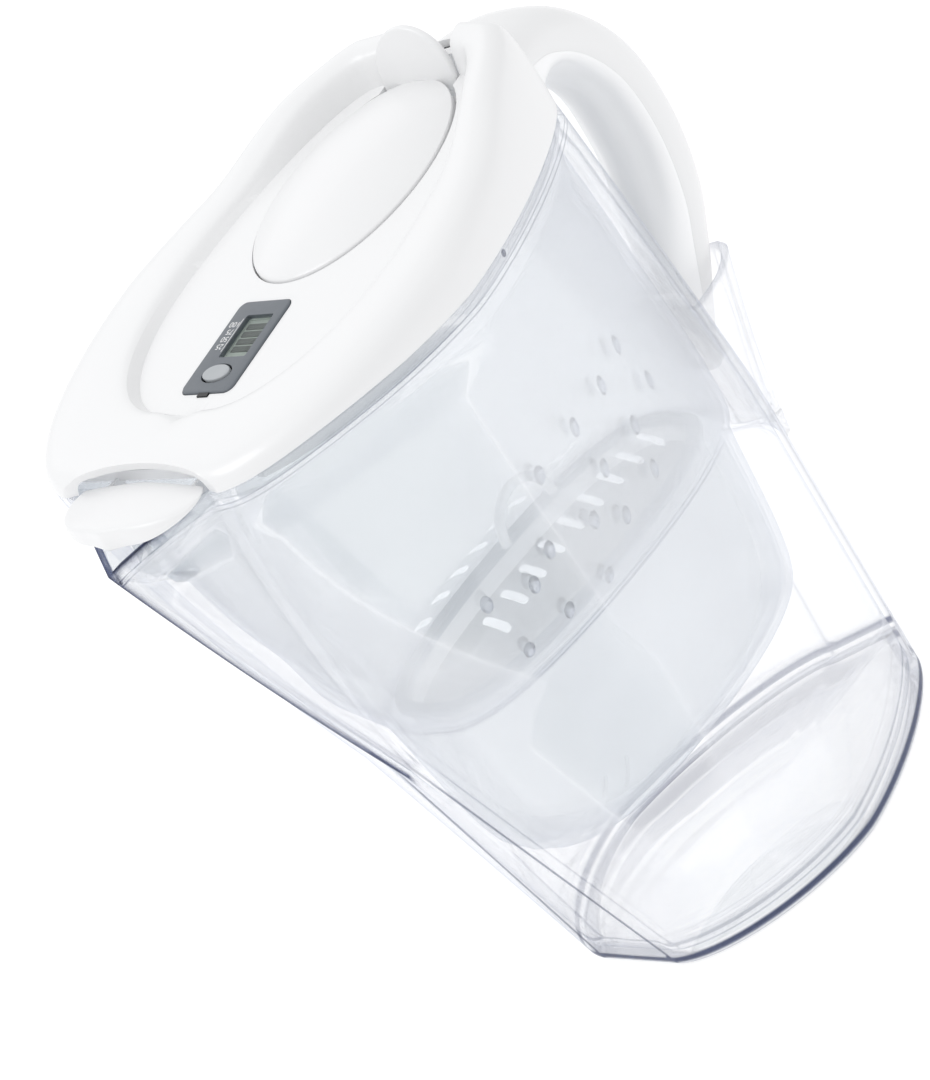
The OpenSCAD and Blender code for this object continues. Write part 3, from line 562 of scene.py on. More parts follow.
outer = [lift(inset(jug_plan(0), d), z) for d, z in ((7, 1), (5, 0), (0.8, 0), (0.25, 0.5))]
outer += [jug_ring(z) for z in [1.2, 1.8] + levels]
outer += [jug_ring(RIM - d) for d in (6.2, 5.6, 5.0, 4.4, 3.9, 3.4, 1.2)]
outside = len(outer) + 1
outer += [jug_ring(RIM - down, d) for down, d in ((0.4, 0), (0, 0.35), (0, RIM_WALL - 0.3), (0.5, RIM_WALL))]
outer += [jug_ring(RIM, d, drop) for d, drop in ((RIM_WALL, LEDGE), (LEDGE_WALL - 0.3, LEDGE),
                                                 (LEDGE_WALL, LEDGE + 0.4))]
outer += [jug_ring(z, LEDGE_WALL if z > up(0.9) else JUG_WALL) for z in reversed(levels[4:])]
outer += [lift(inset(jug_plan(at), JUG_WALL + d), z) for at, d, z in ((8, 0, 6), (5, 1.2, 4.3), (4, 3, 3.6))]
jug = sock("jug_shell", outer, sharp=24)
CORNERS = (0, NOSE, NOSE + 2 * ARC, 2 * NOSE + 2 * ARC)  # keel, front corner, rear corner, heel


def tree_of(obj):
    """An object's faces, to find the nearest point on them or what a line of sight meets, in metres."""
    points = [v.co for v in obj.data.vertices]
    return BVHTree.FromPolygons(points, [tuple(p.vertices) for p in obj.data.polygons])


skin_form = sock("skin", outer[2:outside])
skin = tree_of(skin_form)
bpy.data.objects.remove(skin_form)


def on_skin(x, y, z, reach=0.6):
    """True for a point on the jug's outer face, or within reach of it."""
    point = Vector(((x - ORIGIN) / 1000, y / 1000, z / 1000))
    return skin.find_nearest(point)[3] < reach / 1000


soften(jug, 0.5, angle=16, segments=3, sharp=40, where=on_skin)


def rim_sink(x, y):
    """Height of the rim above a point of the wall near it, as a share of its full height."""
    nose_y, nose_x = -RIM_PLAN[:NOSE + 1, 1], RIM_PLAN[:NOSE + 1, 0]
    rim_x = np.interp(abs(y), nose_y, nose_x) if x < nose_x[-1] + 6 and abs(y) < nose_y[-1] else x
    return rim_z(min(rim_x, 0)) / RIM


# Painted shade: places and widths of the dark lines below the rim, at the foot and at the spout's edge, in
# millimetres.
LINES, LINE_HALF = (3.9, 5.6), 0.45  # the two fine lines, below the rim
FOOT_LINE, SPOUT_DARK = 2.9, 2.5


def jug_painted_shade(co):
    """Painted shade: dark lines at the keels and corners, the spout's edge, the foot, and the rim with its
    two lines.
    """
    out = np.zeros(len(co))
    reach = (3.2, 2.0, 2.0, 2.4)
    for i, (x, y, z) in enumerate(co):
        outside_face = on_skin(x, y, z, 1.2)
        front = mix(1.0, 0.45, ramp(z, FRONT_SPLIT - 15, FRONT_SPLIT + 15))
        strength = (1.5, front, 0.75, 0.8)
        w = 0.0
        for k, c in enumerate(CORNERS):
            level = z / RIM_SINK[c]
            corner = jug_plan(min(RIM, level))[c]
            if outside_face and (k or level > FRONT_SPLIT - 4):
                w = max(w, strength[k] * (1 - math.hypot(x - corner[0], abs(y) + corner[1]) / reach[k]))
        below = RIM - z / rim_sink(x, y)
        if outside_face and -1 < below < 8:
            w = max(w, *(0.8 * (1 - abs(below - line) / LINE_HALF) for line in LINES))
            w = max(w, 0.6 * (1 - abs(below) / 0.5))
        if x < RIM_PLAN[NOSE, 0] - 4 and below < SPOUT_DARK:
            w = max(w, 1.1 * (1 - abs(below) / SPOUT_DARK))
        if outside_face and z < 5:
            w = max(w, 0.85 * (1 - z / 0.9), 1 - ramp(abs(z - FOOT_LINE), 1.0, 1.7))
        out[i] = w
    return out


set_edge(jug, jug_painted_shade)


def socket_ring(z, d=0.0, face=1.2, n=10):
    """The pocket's V-shaped outline at z, d inside its outer face."""
    v, lean = ramp(z, REAR_TURN, RIM), ramp(z, REAR_SPLIT, REAR_SPLIT + SOCKET_RISE)
    keel = BASE_L - 2 + SOCKET_LEAN * lean - 1.2 * d
    wide = REAR_HALF + REAR_SPREAD * v ** 1.5 - 0.6 - d
    wall = REAR_X - LEAN * v ** 1.3 - face
    half = [(wall, wide), (mix(wall, keel, 0.5), 0.84 * wide), (keel - 4, 0.42 * wide), (keel, 0)]
    rows = dense(half, 3 * n)
    pts = [(x, -y) for x, y in rows] + [(x, y) for x, y in reversed(rows[:-1])]
    return lift(np.array(pts), z)


socket_levels = [REAR_SPLIT + 8 + (SOCKET_TOP - REAR_SPLIT - 8) * i / 14 for i in range(15)]
socket = sock("jug_socket_wall", [socket_ring(REAR_SPLIT - 1)] + [socket_ring(z) for z in socket_levels])
hollow = sock("hollow", [socket_ring(z, SOCKET_WALL, -0.5) for z in socket_levels]
              + [socket_ring(SOCKET_TOP + 4, SOCKET_WALL, -0.5)])
combine(socket, hollow)
core = sock("core", [jug_ring(z, -0.02) for z in levels if 60 < z < 175])
combine(socket, core)
soften(socket, 0.4, angle=40)


def socket_painted_shade(co):
    """Painted shade: dark lines along the pocket's keel and its upper edge."""
    y, z = np.abs(co[:, 1]), co[:, 2]
    return np.maximum(0.62 * (1 - y / 2.5), 0.62 * (1 - (SOCKET_TOP - z) / 1.5))


set_edge(socket, socket_painted_shade)
latch = extrude("jug_latch", round_rect((4.0, 10.4), 0.6, 4), lambda u, v, w: (w, u, LATCH_Z + 5.5 + v),
                REAR_X - 1.2, REAR_X + 1.4)
lug = extrude("jug_root_pad", round_rect((34, 6.8), 1.2, 4), lambda u, v, w: (w, u, RIM - 3.6 + v),
              BACK + 2.5, BACK + 5.8)
core = sock("core", [jug_ring(z, -0.02) for z in (up(0.9), RIM)] + [jug_ring(RIM, -0.02) + [0, 0, 4]])
combine(lug, core)
tip = extrude("tip", round_rect((12, 3.4), 0.7, 4), lambda u, v, w: (w, u, RIM - 1.9 + v),
              BACK + 4, BACK + 12)
join(lug, tip)
for piece, w in ((latch, 0.35), (lug, 0.25)):
    set_edge(piece, lambda co, w=w: np.full(len(co), w))
dress(jug, CLEAR, "jug", "jug_base", "jug_body")
dress(socket, CLEAR, "jug", "jug_socket")
dress(latch, CLEAR, "jug", "jug_socket")
dress(lug, CLEAR, "jug", "jug_lug")

# ---- Handle ----
LOW_Z = LATCH_Z + 4
GRIP_X = REAR_X + REACH


def along(t):
    """Height a share of the way up the handle."""
    return mix(LOW_Z, RIM, t)


# places along the handle: x, z, depth and half width
handle_path = np.array([
    [BACK + 6, RIM + 8, 30, 21], [BACK + 20, RIM + 5, 30, 18], [REAR_X + 6, RIM - 5, 31, GRIP / 2 + 1],
    [GRIP_X - 19, RIM - 22, 33, GRIP / 2], [GRIP_X - 17, along(0.614), 34, GRIP / 2],
    [GRIP_X - 20, along(0.421), 32, GRIP / 2 - 1], [REAR_X + 11, along(0.263), 26, 9.8],
    [REAR_X + 6, along(0.14), 19, 8.2], [REAR_X + 3, along(0.044), 12, 7], [REAR_X + 2, LOW_Z, 6, 5.5]])
FINGER_DEPTH, GROOVE, GROOVE_AT, GROOVE_SPREAD = 7.5, 1.6, 46, 17


def station(t, step=0.02):
    """Place, depth, half width and outward direction at t along the handle."""
    here = spline(handle_path, t)
    after = spline(handle_path, min(t + step, len(handle_path) - 1))
    before = spline(handle_path, max(t - step, 0))
    d = np.array([after[0] - before[0], after[1] - before[1]])
    d /= max(np.linalg.norm(d), 1e-6)
    n = np.array([-d[1] * ramp(t, 0, 0.8), d[0]])
    return np.concatenate([here, n / max(np.linalg.norm(n), 1e-6)])


def arc_point(s, across, wide, a, p=2.5):
    """Point at angle a on the rounded section across station s."""
    c, k = cosd(a), sind(a)
    out = across * math.copysign(abs(c) ** (2 / p), c)
    y = wide * math.copysign(abs(k) ** (2 / p), k)
    return (s[0] + out * s[4], y, s[1] + out * s[5])


def shell_ring(t, side, steps=28):
    """Section of one handle shell. The inner one has a hollow for the fingers and a groove each side."""
    s = station(t)
    wide, deep = s[3], s[2] / 2
    inner_w, inner_d = max(1, wide - HANDLE_WALL), max(0.6, deep - HANDLE_WALL)
    held = smooth(ramp(t, 0.4, 1.6)) * (1 - smooth(ramp(t, 4.0, 6.4))) if side < 0 else 0.0
    groove, round_off = GROOVE * held, 2.5 - 0.75 * held
    deep -= FINGER_DEPTH * held
    inner_d -= FINGER_DEPTH * held
    out, back = [], []
    for i in range(steps + 1):
        a = -90 + 180 * i / steps
        g = groove * (math.exp(-((abs(a) - GROOVE_AT) / GROOVE_SPREAD) ** 2))
        out.append(arc_point(s, side * (deep - g), wide - 0.3 * g, a, round_off))
        back.append(arc_point(s, side * inner_d * (1 - 0.8 * g / deep), inner_w - 0.3 * g, a, round_off))
    return np.array(out + back[::-1])


def handle_shell(name, side, count=91):
    """The handle's outer shell for side 1, its inner shell for side -1."""
    last = len(handle_path) - 1
    rings = [shell_ring(last * k / (count - 1), side) for k in range(count)]
    n = len(rings[0])
    faces = [(k * n + i, (k + 1) * n + i, (k + 1) * n + (i + 1) % n, k * n + (i + 1) % n)
             for k in range(count - 1) for i in range(n)]
    half = n // 2
    faces += [(o + i, o + i + 1, o + n - 2 - i, o + n - 1 - i)
              for o in (0, (count - 1) * n) for i in range(half - 1)]
    return add_mesh(name, np.concatenate(rings), faces)


handle_out = handle_shell("handle_outer_shell", 1)
soften(handle_out, 0.35, angle=50)
dress(handle_out, WHITE, "jug", "handle_outer")
handle_in = handle_shell("handle_inner_shell", -1)
soften(handle_in, 0.35, angle=50)


def back_x(z):
    """The jug's rear wall at height z."""
    return REAR_X - LEAN * ramp(z, REAR_TURN, RIM) ** 1.3


TONGUE_Z, TONGUE_HALF, TONGUE_T, TONGUE_UP = 121.0, 11.0, 3.0, 30.0
wall_lean = math.atan((back_x(TONGUE_Z) - back_x(TONGUE_Z + TONGUE_UP)) / TONGUE_UP)
lean_cos, lean_sin = math.cos(wall_lean), math.sin(wall_lean)


def tongue_frame(u, v, w):
    """u across the tongue, v up along the jug's rear wall and w out of it."""
    return (back_x(TONGUE_Z) + 0.5 + lean_cos * w - lean_sin * v, u, TONGUE_Z + lean_sin * w + lean_cos * v)


tongue_line = [(TONGUE_HALF, TONGUE_HALF + 22)]
for i in range(33):
    a = 180 * (32 - i) / 32
    tongue_line.append((-TONGUE_HALF * cosd(a), TONGUE_HALF - TONGUE_HALF * sind(a)))
tongue_line.append((-TONGUE_HALF, TONGUE_HALF + 22))
tongue = extrude("tongue", tongue_line, tongue_frame, 0, TONGUE_T)
window = extrude("window", round_rect((4.6, 11), 0.7, 4), lambda u, v, w: (w, u, LATCH_Z + 5.5 + v),
                 REAR_X - 6, REAR_X + 2.2)
combine(tongue, window)
soften(tongue, 0.4, angle=40)
join(handle_in, tongue)
# the inner shell takes the lighter white, painted light against the shade of its hollow
dress(handle_in, WHITE_PAINTED_LIGHTER, "jug", "handle_inner")

# ---- Funnel ----
# height, then plan()'s front, shoulder and widest places, its back, and the two roundings
funnel_rows = [
    [WELL_Z + 2, 2, 4, 3, 50, 0.36, 116, 3, 117, 2.3, 2.3],
    [WELL_Z + 5, -6, -5, 4, 52, 0.42, 122, 4, 123, 2.4, 2.4],
    [WELL_Z + 12, -14, -13, 5, 53, 0.45, 126, 5, 127, 2.5, 2.5],
    [WELL_Z + 30, -19, -18, 6, 53, 0.47, 128, 6, 129, 2.6, 2.6],
    [BOWL_Z - 6, -24, -23, 7, 53, 0.5, 129, 7, 130, 2.6, 2.6],
    [BOWL_Z, -25, -24, 7.5, 52, 0.53, 130, 8, 131, 2.5, 2.5],
    [BOWL_Z + 4, -27, -26, 8, 50, 0.64, 131, 8.5, 132, 2.3, 2.2],
    [BOWL_Z + 11, -31, -30, 9, 47, 0.71, 132, 10, 133, 2.1, 1.9],
    [BOWL_Z + 23, -37, -36, 10, 43, 0.78, 132, 11.5, 133, 2, 1.7],
    [bowl_up(0.333), -42.5, -39.5, 11, 38, 0.84, 129.5, 14, 130.5, 2, 1.6],
    [bowl_up(0.492), -50.5, -46, 12.5, 34, 0.895, 126, 17, 127, 1.95, 1.5],
    [bowl_up(0.651), -57, -49, 16, 29, 0.945, 122, 20.5, 123.5, 1.95, 1.45],
    [bowl_up(0.825), -63, -52, 20, 24, 0.99, 116.5, 25, 119, 1.95, 1.4]]


def funnel_ring(r, d):
    """The bowl's outline for one row, d inside its outer face."""
    q = inset(plan(r[1], r[2], r[3], r[4], r[5] * WELL_W, r[6], r[7], r[8], r[9], r[10]), d)
    k = ramp(r[0], BOWL_Z, bowl_up(0.41))
    return lift(q, r[0] * (1 + (RIM_SINK - 1) * k) + (0.7 * d if d > 0 and r[0] < BOWL_Z - 8 else 0))


DIP = np.array([smooth(ramp(-x, 62, 76)) for x in RIM_PLAN[:, 0]])
DRAWN = np.array([smooth(ramp(-x, 56, 74)) for x in RIM_PLAN[:, 0]])[:, None]


def flange_ring(d, drop, draw, seat=0.0):
    """The flange's outline, following the rim, drawn in by draw and dipped behind the pouring flap."""
    c = inset(RIM_PLAN, d) * (1 - DRAWN) + inset(RIM_PLAN, d + draw) * DRAWN
    seats = np.array([seat * ramp(-x, 10, 20) for x in RIM_PLAN[:, 0]])
    return lift(c, RIM * RIM_SINK - drop - 7 * DIP + seats)


rows = dense(funnel_rows, 48)
FLANGE = RIM_WALL + GAP
FLANGE_IN = FLANGE + FUNNEL_WALL
# the flange's section: distance inside the rim's outline, drop below the rim, draw-in at the spout, and seat
flange_line = ((LEDGE_WALL + 2.6, LEDGE + 4, 9), (LEDGE_WALL + 1, LEDGE, 9, GAP), (FLANGE, LEDGE, 9, GAP),
               (FLANGE, GAP + 0.5, 7), (FLANGE + 0.5, GAP, 7), (FLANGE_IN - 0.5, GAP, 7),
               (FLANGE_IN, GAP + 0.5, 7), (FLANGE_IN, LEDGE, 9))
foot = plan(14, 16, 2, 50, 0.28 * WELL_W, 108, 2, 110)
rings = [lift(inset(foot, 5), WELL_Z), lift(inset(foot, 1), WELL_Z), lift(inset(foot, -0.6), WELL_Z + 0.35)]
rings += [funnel_ring(r, 0) for r in rows]
rings += [flange_ring(*place) for place in flange_line]
rings += [funnel_ring(r, FUNNEL_WALL) for r in reversed(rows)]
rings += [lift(inset(foot, 1), CUP_Z), lift(inset(foot, 5), CUP_Z)]
funnel = sock("funnel_bowl", rings, sharp=35)


def funnel_painted_shade(co):
    """Painted shade: dark lines at the flange, the step from the bowl to the well, and the well's lower
    edge.
    """
    x, z = co[:, 0], co[:, 2]
    rim = 0.5 * (1 - np.abs(z - (RIM - LEDGE)) / 0.8) * (x > -40)
    well = 0.85 * (1 - np.abs(z - BOWL_Z) / 3.0)
    low = 0.75 * (1 - np.abs(z - WELL_Z - 4) / 3.0)
    return np.maximum(np.maximum(rim, well), low)


set_edge(funnel, funnel_painted_shade)
dress(funnel, FUNNEL, "funnel", "funnel")

# ---- Cartridge ----
# height above the seat, front, back, and half width as a share of the well's width
cup_rows = [[0, 30, 78, 0.18], [1.6, 18, 93, 0.26], [4.6, 9, 104, 0.32], [10, 0, 112, 0.36],
            [17, -7, 117, 0.385], [28, -13, 120, 0.4], [41, -17, 121, 0.41],
            [CUP_TOP - CUP_Z, -19, 122, 0.42]]
CUP_WALL, SLOT_LEAN = 1.4, 12


def cup_ring(r, d, z):
    """The cup's outline for one row, d inside its outer face, at height z."""
    outline = plan(r[1], r[1] + 1, 4, 52, r[3] * WELL_W, r[2] - 1, 4, r[2], 2.4, 2.4)
    return lift(inset(outline, d), z)


CUP_RIM = cup_ring(cup_rows[-1], 0, 0)
rows = dense(cup_rows, 28)
rings = [cup_ring(r, 0, CUP_Z + r[0]) for r in rows]
rings += [cup_ring(r, CUP_WALL, CUP_Z + r[0] + (CUP_WALL if r[0] < 11 else 0.0)) for r in reversed(rows)]
cup = sock("cartridge_shell", rings, sharp=35)


def cup_slot(x0, y0, z0):
    """Cutter for one of the slots low in the cup's sides."""
    c, s = cosd(SLOT_LEAN), sind(SLOT_LEAN)
    return extrude("slot", round_rect((1.8, 11), 0.6, 3),
                   lambda u, v, w: (x0 + c * u + s * v, w, z0 - s * u + c * v), y0 - 8, y0 + 8)


slots = [cup_slot(9 + 9 * k, side * 0.36 * WELL_W, CUP_Z + 13) for side in (-1, 1) for k in (0, 1)]
combine(cup, join(*slots), sharp=35)


def cup_painted_shade(co):
    """Painted shade: dark lines at the cup's foot and its rim."""
    foot_edge = 0.6 * (1 - (co[:, 2] - CUP_Z) / 5)
    return np.maximum(foot_edge, 0.5 * (1 - np.abs(co[:, 2] - CUP_TOP) / 2))


set_edge(cup, cup_painted_shade)
dress(cup, CARTRIDGE, "cartridge", "cartridge_cup")

CAP_X, CAP_LIP, CAP_INNER = 53, -1.4, 0.965
SLOT_PITCH, SLOT_Y = 11, 16


def cap_ring(t, size):
    """The cap's outline a share t of the way up its dome, shrunk to size."""
    s = max(0.12, (1 - t ** 2.2) ** 0.5)
    q = inset(CUP_RIM, CAP_LIP)
    shrunk = np.column_stack([mix(CAP_X, q[:, 0], s * size), q[:, 1] * s * size])
    return lift(shrunk, CAP_Z + CAP_RISE * t)


def cap_slot(x0, y0):
    """Cutter for one of the cap's inlet slots."""
    outline = round_rect((3, 9), 1.2, 4)
    return extrude("slot", outline, lambda u, v, w: (x0 + u, y0 + v, w), CAP_Z - 30, CAP_Z + 30)


shares = [0, 0.06, 0.14, 0.25, 0.38, 0.5, 0.62, 0.72, 0.8, 0.88, 0.93, 0.97]
rings = [cap_ring(t, 1) for t in shares]
rings += [cap_ring(t, CAP_INNER) for t in reversed([0.0] + shares[1:-3])]
cap = sock("cartridge_lid", rings)
cuts = [cap_slot(CAP_X + SLOT_PITCH * k, side * SLOT_Y) for k in range(-4, 5) for side in (-1, 1)]
combine(cap, join(*cuts))
set_edge(cap, lambda co: np.zeros(len(co)))
dress(cap, CAP, "cartridge", "cartridge_cap", slot="cartridge_body")

# the seal's section: distance inside the cup's rim, and height above it
gasket_line = ((-1.7, 0), (-2.2, 0.5), (-2.2, 1.9), (-1.7, 2.4), (2.6, 2.4), (2.6, 0))
gasket_rings = [lift(inset(CUP_RIM, d), CUP_TOP + z) for d, z in gasket_line]
gasket = sock("cartridge_gasket", gasket_rings, closed=True)
dress(gasket, SEAL, "cartridge", "cartridge_seal")

# ---- Lid ----
RECESS_PLAN = plan(BACK - 151.1, BACK - 151, 8, BACK - 96, 45, BACK - 14, 19, BACK - 9, 2.1, 1.75)
# the lid's section: share of the way in to the sunk face, and share of the crown's height
profile = np.array([[0, 0], [0.012, 0.3], [0.05, 0.62], [0.13, 0.84], [0.26, 0.95], [0.45, 1],
                    [0.68, 0.99], [0.86, 0.94], [0.94, 0.84]])


def crown(x):
    """Height of the lid's ridge, which rises towards the hinge."""
    return recess(x) + 5 + 6 * smooth(ramp(x, BACK - 63, BACK - 26))


def seam(x):
    """Height of the lid's lower edge, just above the rim."""
    return rim_z(x) + GAP * ramp(-x, 10, 20)


SEAM = np.array([seam(x) for x in RIM_PLAN[:, 0]])


def lid_ring(t, p, d, drop):
    """Outline a share t of the way in and p of the way up, d inside the skin and drop below it."""
    q = inset(RIM_PLAN * (1 - t) + RECESS_PLAN * t, d)
    top = np.array([crown(x) for x in q[:, 0]])
    return lift(q, SEAM + (top - SEAM) * p - drop)


def recess_ring(d, drop):
    """The recess's outline, d inside it and drop below its face."""
    q = inset(RECESS_PLAN, d)
    return lift(q, recess(q[:, 0]) - drop)


def recess_core(drop, size=0.3):
    """A small copy of the recess's outline in the middle of its face."""
    q = np.column_stack([mix(60, RECESS_PLAN[:, 0], size), RECESS_PLAN[:, 1] * size])
    return lift(q, recess(q[:, 0]) - drop)


def thin(t):
    """Wall thickness, which tapers off where the skin turns down into the recess."""
    return LID_WALL * mix(mix(1, 0.4, smooth(ramp(t, 0.13, 0.3))), 0.05, ramp(t, 0.6, 0.86))


def skin_drop(t):
    """How far the skin's inside lies below its outside."""
    return LID_WALL * mix(0.3, 1, ramp(t, 0.02, 0.2))


fine = dense(profile, 40)
rings = [recess_core(LID_WALL), recess_ring(3, LID_WALL), recess_ring(-0.6, LID_WALL)]
rings += [lid_ring(t, p, thin(t), skin_drop(t)) for t, p in reversed(fine[3:36])]
rings += [lid_ring(0, 0, LID_WALL, 0), lid_ring(0, 0, 0.25, 0), lid_ring(0, 0.02, 0, 0)]
rings += [lid_ring(t, p, 0, 0) for t, p in fine[1:]]
rings += [recess_ring(0.4, 0), recess_core(0)]
LID_SHARP = 45
lid = sock("lid_top", rings, sharp=LID_SHARP)


def cut_lid(outline, frame_at, depth0, depth1):
    """Takes an outline swept from depth0 to depth1 out of the lid."""
    combine(lid, extrude("cutter", outline, frame_at, depth0, depth1), sharp=LID_SHARP)


HOLE_L, HOLE_W, HOLE_STRETCH = 1.009 * DOME_L + 1.2, DOME_W + 1.2, 1.6
dome_frame = on_recess(DOME_X)
ledge = extrude("ledge", oval(HOLE_L + 4, HOLE_W + 4, stretch=HOLE_STRETCH), dome_frame, -4.4, -1.0)
combine(lid, ledge, "UNION", LID_SHARP)
for less, floor_w, stretch in ((0, -2.5, HOLE_STRETCH), (7, -9, 0.0)):
    cut_lid(oval(HOLE_L - less, HOLE_W - less, stretch=stretch), dome_frame, floor_w, 12)
HINGE_Z = recess(HINGE_X) - 5.8
TAB_HALF = TAB_W / 2


def at_hinge(*points):
    """Points (x, z) given from the hinge's axis."""
    return [(HINGE_X + x, HINGE_Z + z) for x, z in points]


notch = at_hinge((-7, -3), (3, -3), (5.5, -0.5), (19, 6.5), (40, 6.5), (40, 40), (-7, 40))
cut_lid(notch, along_y, -TAB_HALF - 0.6, TAB_HALF + 0.6)
boss_room = at_hinge((-4.5, -3), (7.5, -3), (7.5, 2.9), (-4.5, 2.9))
cut_lid(boss_room, along_y, -TAB_HALF - 3.2, TAB_HALF + 3.2)
timer_frame = on_recess(TIMER_X)
cut_lid(round_rect((TIMER_L + 0.6, TIMER_W + 0.6), 3.3), timer_frame, -6, 6)
catch_room = [(u - TIMER_L / 2, v) for u, v in ((-1.6, -2.4), (1.4, -2.4), (1.4, 2.4), (-1.6, 2.4))]
cut_lid(catch_room, timer_frame, -1.2, 2.8)
ARCH_X, ARCH_R = -56.6, 110.0
ARCH_MID = ARCH_X - ARCH_R
arch = [(ARCH_MID + ARCH_R * cosd(a), ARCH_R * sind(a)) for a in np.linspace(-35, 35, 120)]
arch += [(ARCH_MID - 10, 70), (ARCH_MID - 10, -70)]
cut_lid(arch, lambda u, v, w: (u, v, w), RIM - 30, RIM + 50)
soften(lid, 0.45, angle=50, segments=2, sharp=40)
even_normals(lid)
dress(lid, WHITE, "lid", "lid_shell")

# ---- Filling flap ----
def dome_ring(s, z):
    """The flap's outline shrunk to s, z above the recess."""
    q = np.array(oval(DOME_L * s, DOME_W * s, 120))
    x = DOME_X + q[:, 0]
    return np.column_stack([x, q[:, 1], recess(x) + z])


def dome_height(s):
    """Height of the dome above its edge, where the outline has shrunk to s."""
    return DOME_RISE * (1 - s ** 2.2)


under = [0.2, 0.4, 0.6, 0.75, 0.86, 0.95]
over = [0.993, 0.98, 0.96, 0.93, 0.89, 0.84, 0.78, 0.7, 0.6, 0.5, 0.4, 0.3, 0.2, 0.1, 0.04]
rings = [dome_ring(s, dome_height(s) - 2) for s in under]
rings += [dome_ring(s, z) for s, z in ((0.952, -2.2), (0.99, -2.2), (1, -1.9), (1, 0.1), (0.998, 0.45))]
rings += [dome_ring(s, dome_height(s) + 0.6) for s in over]
dome = sock("flap_dome", rings, sharp=50)
TAB_LEAN, TAB_HALF_T = 8.0, 1.3


def tab_frame(u, v, w):
    """u across the tab, v up it and w through it, with the tab leaning from the hinge."""
    c, s = cosd(TAB_LEAN), sind(TAB_LEAN)
    return (HINGE_X + c * w + s * v, u, HINGE_Z - s * w + c * v)


arc_up = TAB_H + 5.5 - TAB_HALF
tab_line = [(-TAB_HALF, -1), (TAB_HALF, -1)]
tab_line += [(TAB_HALF * cosd(180 * i / 48), arc_up + TAB_HALF * sind(180 * i / 48)) for i in range(49)]
tab = extrude("tab", tab_line, tab_frame, -TAB_HALF_T, TAB_HALF_T)
soften(tab, 0.9, angle=50, segments=4)


def hinge_rod(name, half, radius):
    """A round bar on the hinge's axis that reaches half to either side."""
    return rod(name, [(HINGE_X, y, HINGE_Z) for y in np.linspace(-half, half, 5)], radius, 32)


join(dome, tab, hinge_rod("boss", TAB_HALF - 1, 2.5), hinge_rod("pins", TAB_HALF + 2, 1.45))
dress(dome, WHITE, "fill_flap", "fill_flap")

# ---- Pouring flap ----
POUR_PLAN = plan(-81, -79.4, 8, -65, 27.6, -59.5, 25, -58, 1.9, 2, nose=6, arc=24)
POUR_MID, POUR_WALL, POUR_CURVE = -66, 1.8, 0.0022


def pour_ring(s, p, drop=0.0):
    """The flap's outline shrunk to s, a share p of the way from its lower edge to its top."""
    x, y = mix(POUR_MID, POUR_PLAN[:, 0], s), POUR_PLAN[:, 1] * s
    low = np.array([rim_z(a) + 0.5 + 2 * smooth(ramp(-a, 58, 83)) for a in x])
    high = RIM - 0.4 - POUR_CURVE * y * y
    return np.column_stack([x, y, low + (high - low) * p - drop])


# the flap's edge: size of its outline, and share of the way up
pour_edge = ((0.93, 0), (0.985, 0), (1, 0.06), (1, 0.42), (0.995, 0.62), (0.975, 0.8), (0.955, 0.89),
             (0.93, 0.94), (0.88, 0.98))
rings = [pour_ring(s, 1, POUR_WALL) for s in (0.15, 0.3, 0.5, 0.7, 0.82, 0.9)]
rings += [pour_ring(s, p) for s, p in pour_edge]
rings += [pour_ring(s, 1) for s in (0.8, 0.65, 0.5, 0.35, 0.2, 0.08)]
spout = sock("flap_spout", rings, sharp=45)
arm_shape = ((-6, -1.2), (1.0, -1.2), (1.6, 0), (1.0, 1.2), (-2.4, 1.2), (-2.4, 3.7), (-6, 3.7))
arm_line = [(PIN_X + x, PIN_Z + z) for x, z in arm_shape]
ARM_INSIDE, ARM_OUTSIDE = 14.4, 17.6
arms = []
for side in (-1, 1):
    y0, y1 = sorted((side * ARM_INSIDE, side * ARM_OUTSIDE))
    arms.append(extrude("arm", arm_line, along_y, y0, y1))
    arms.append(rod("pin", [(PIN_X, side * (17 + 0.7 * k), PIN_Z) for k in range(5)], 1.27, 24))
join(spout, *arms)
dress(spout, WHITE, "spout_flap", "spout_flap")

# ---- Pieces kept from the part, with their finishes ----
# the lid frame takes the lighter white, painted light against its shade
KEEP = {"lid_frame": WHITE_PAINTED_LIGHTER, "cartridge_sieve": SIEVE, "cartridge_media": MEDIA, "cartridge_loop": CARTRIDGE,
        "timer_back": TIMER, "timer_board": BOARD, "timer_battery": CELL, "timer_contact": CELL,
        "timer_latch": BLACK}
for name, material in KEEP.items():
    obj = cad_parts[name]
    for slot in obj.material_slots:
        slot.material = material

# ---- Timer ----
TIMER_DEPTH, FACE_W, LCD_W, BAR_PITCH = 9.0, 0.6, -1.0, 3.0
LCD_AT, LCD_SIZE = (4.0, -1.5), (17.0, 11.6)
KEY_AT, BUTTON_SIZE = (-11.0, 0), (6.4, 11.0)


def timer_piece(name, outline, w0, w1, at=(0, 0), sharp=35.0):
    """An outline moved to at on the timer, swept from w0 to w1 above the lid's sunk face."""
    return extrude(name, [(u + at[0], v + at[1]) for u, v in outline], timer_frame, w0, w1, sharp)


def grown(size, more):
    """A size with both its sides longer by more."""
    return (size[0] + more, size[1] + more)


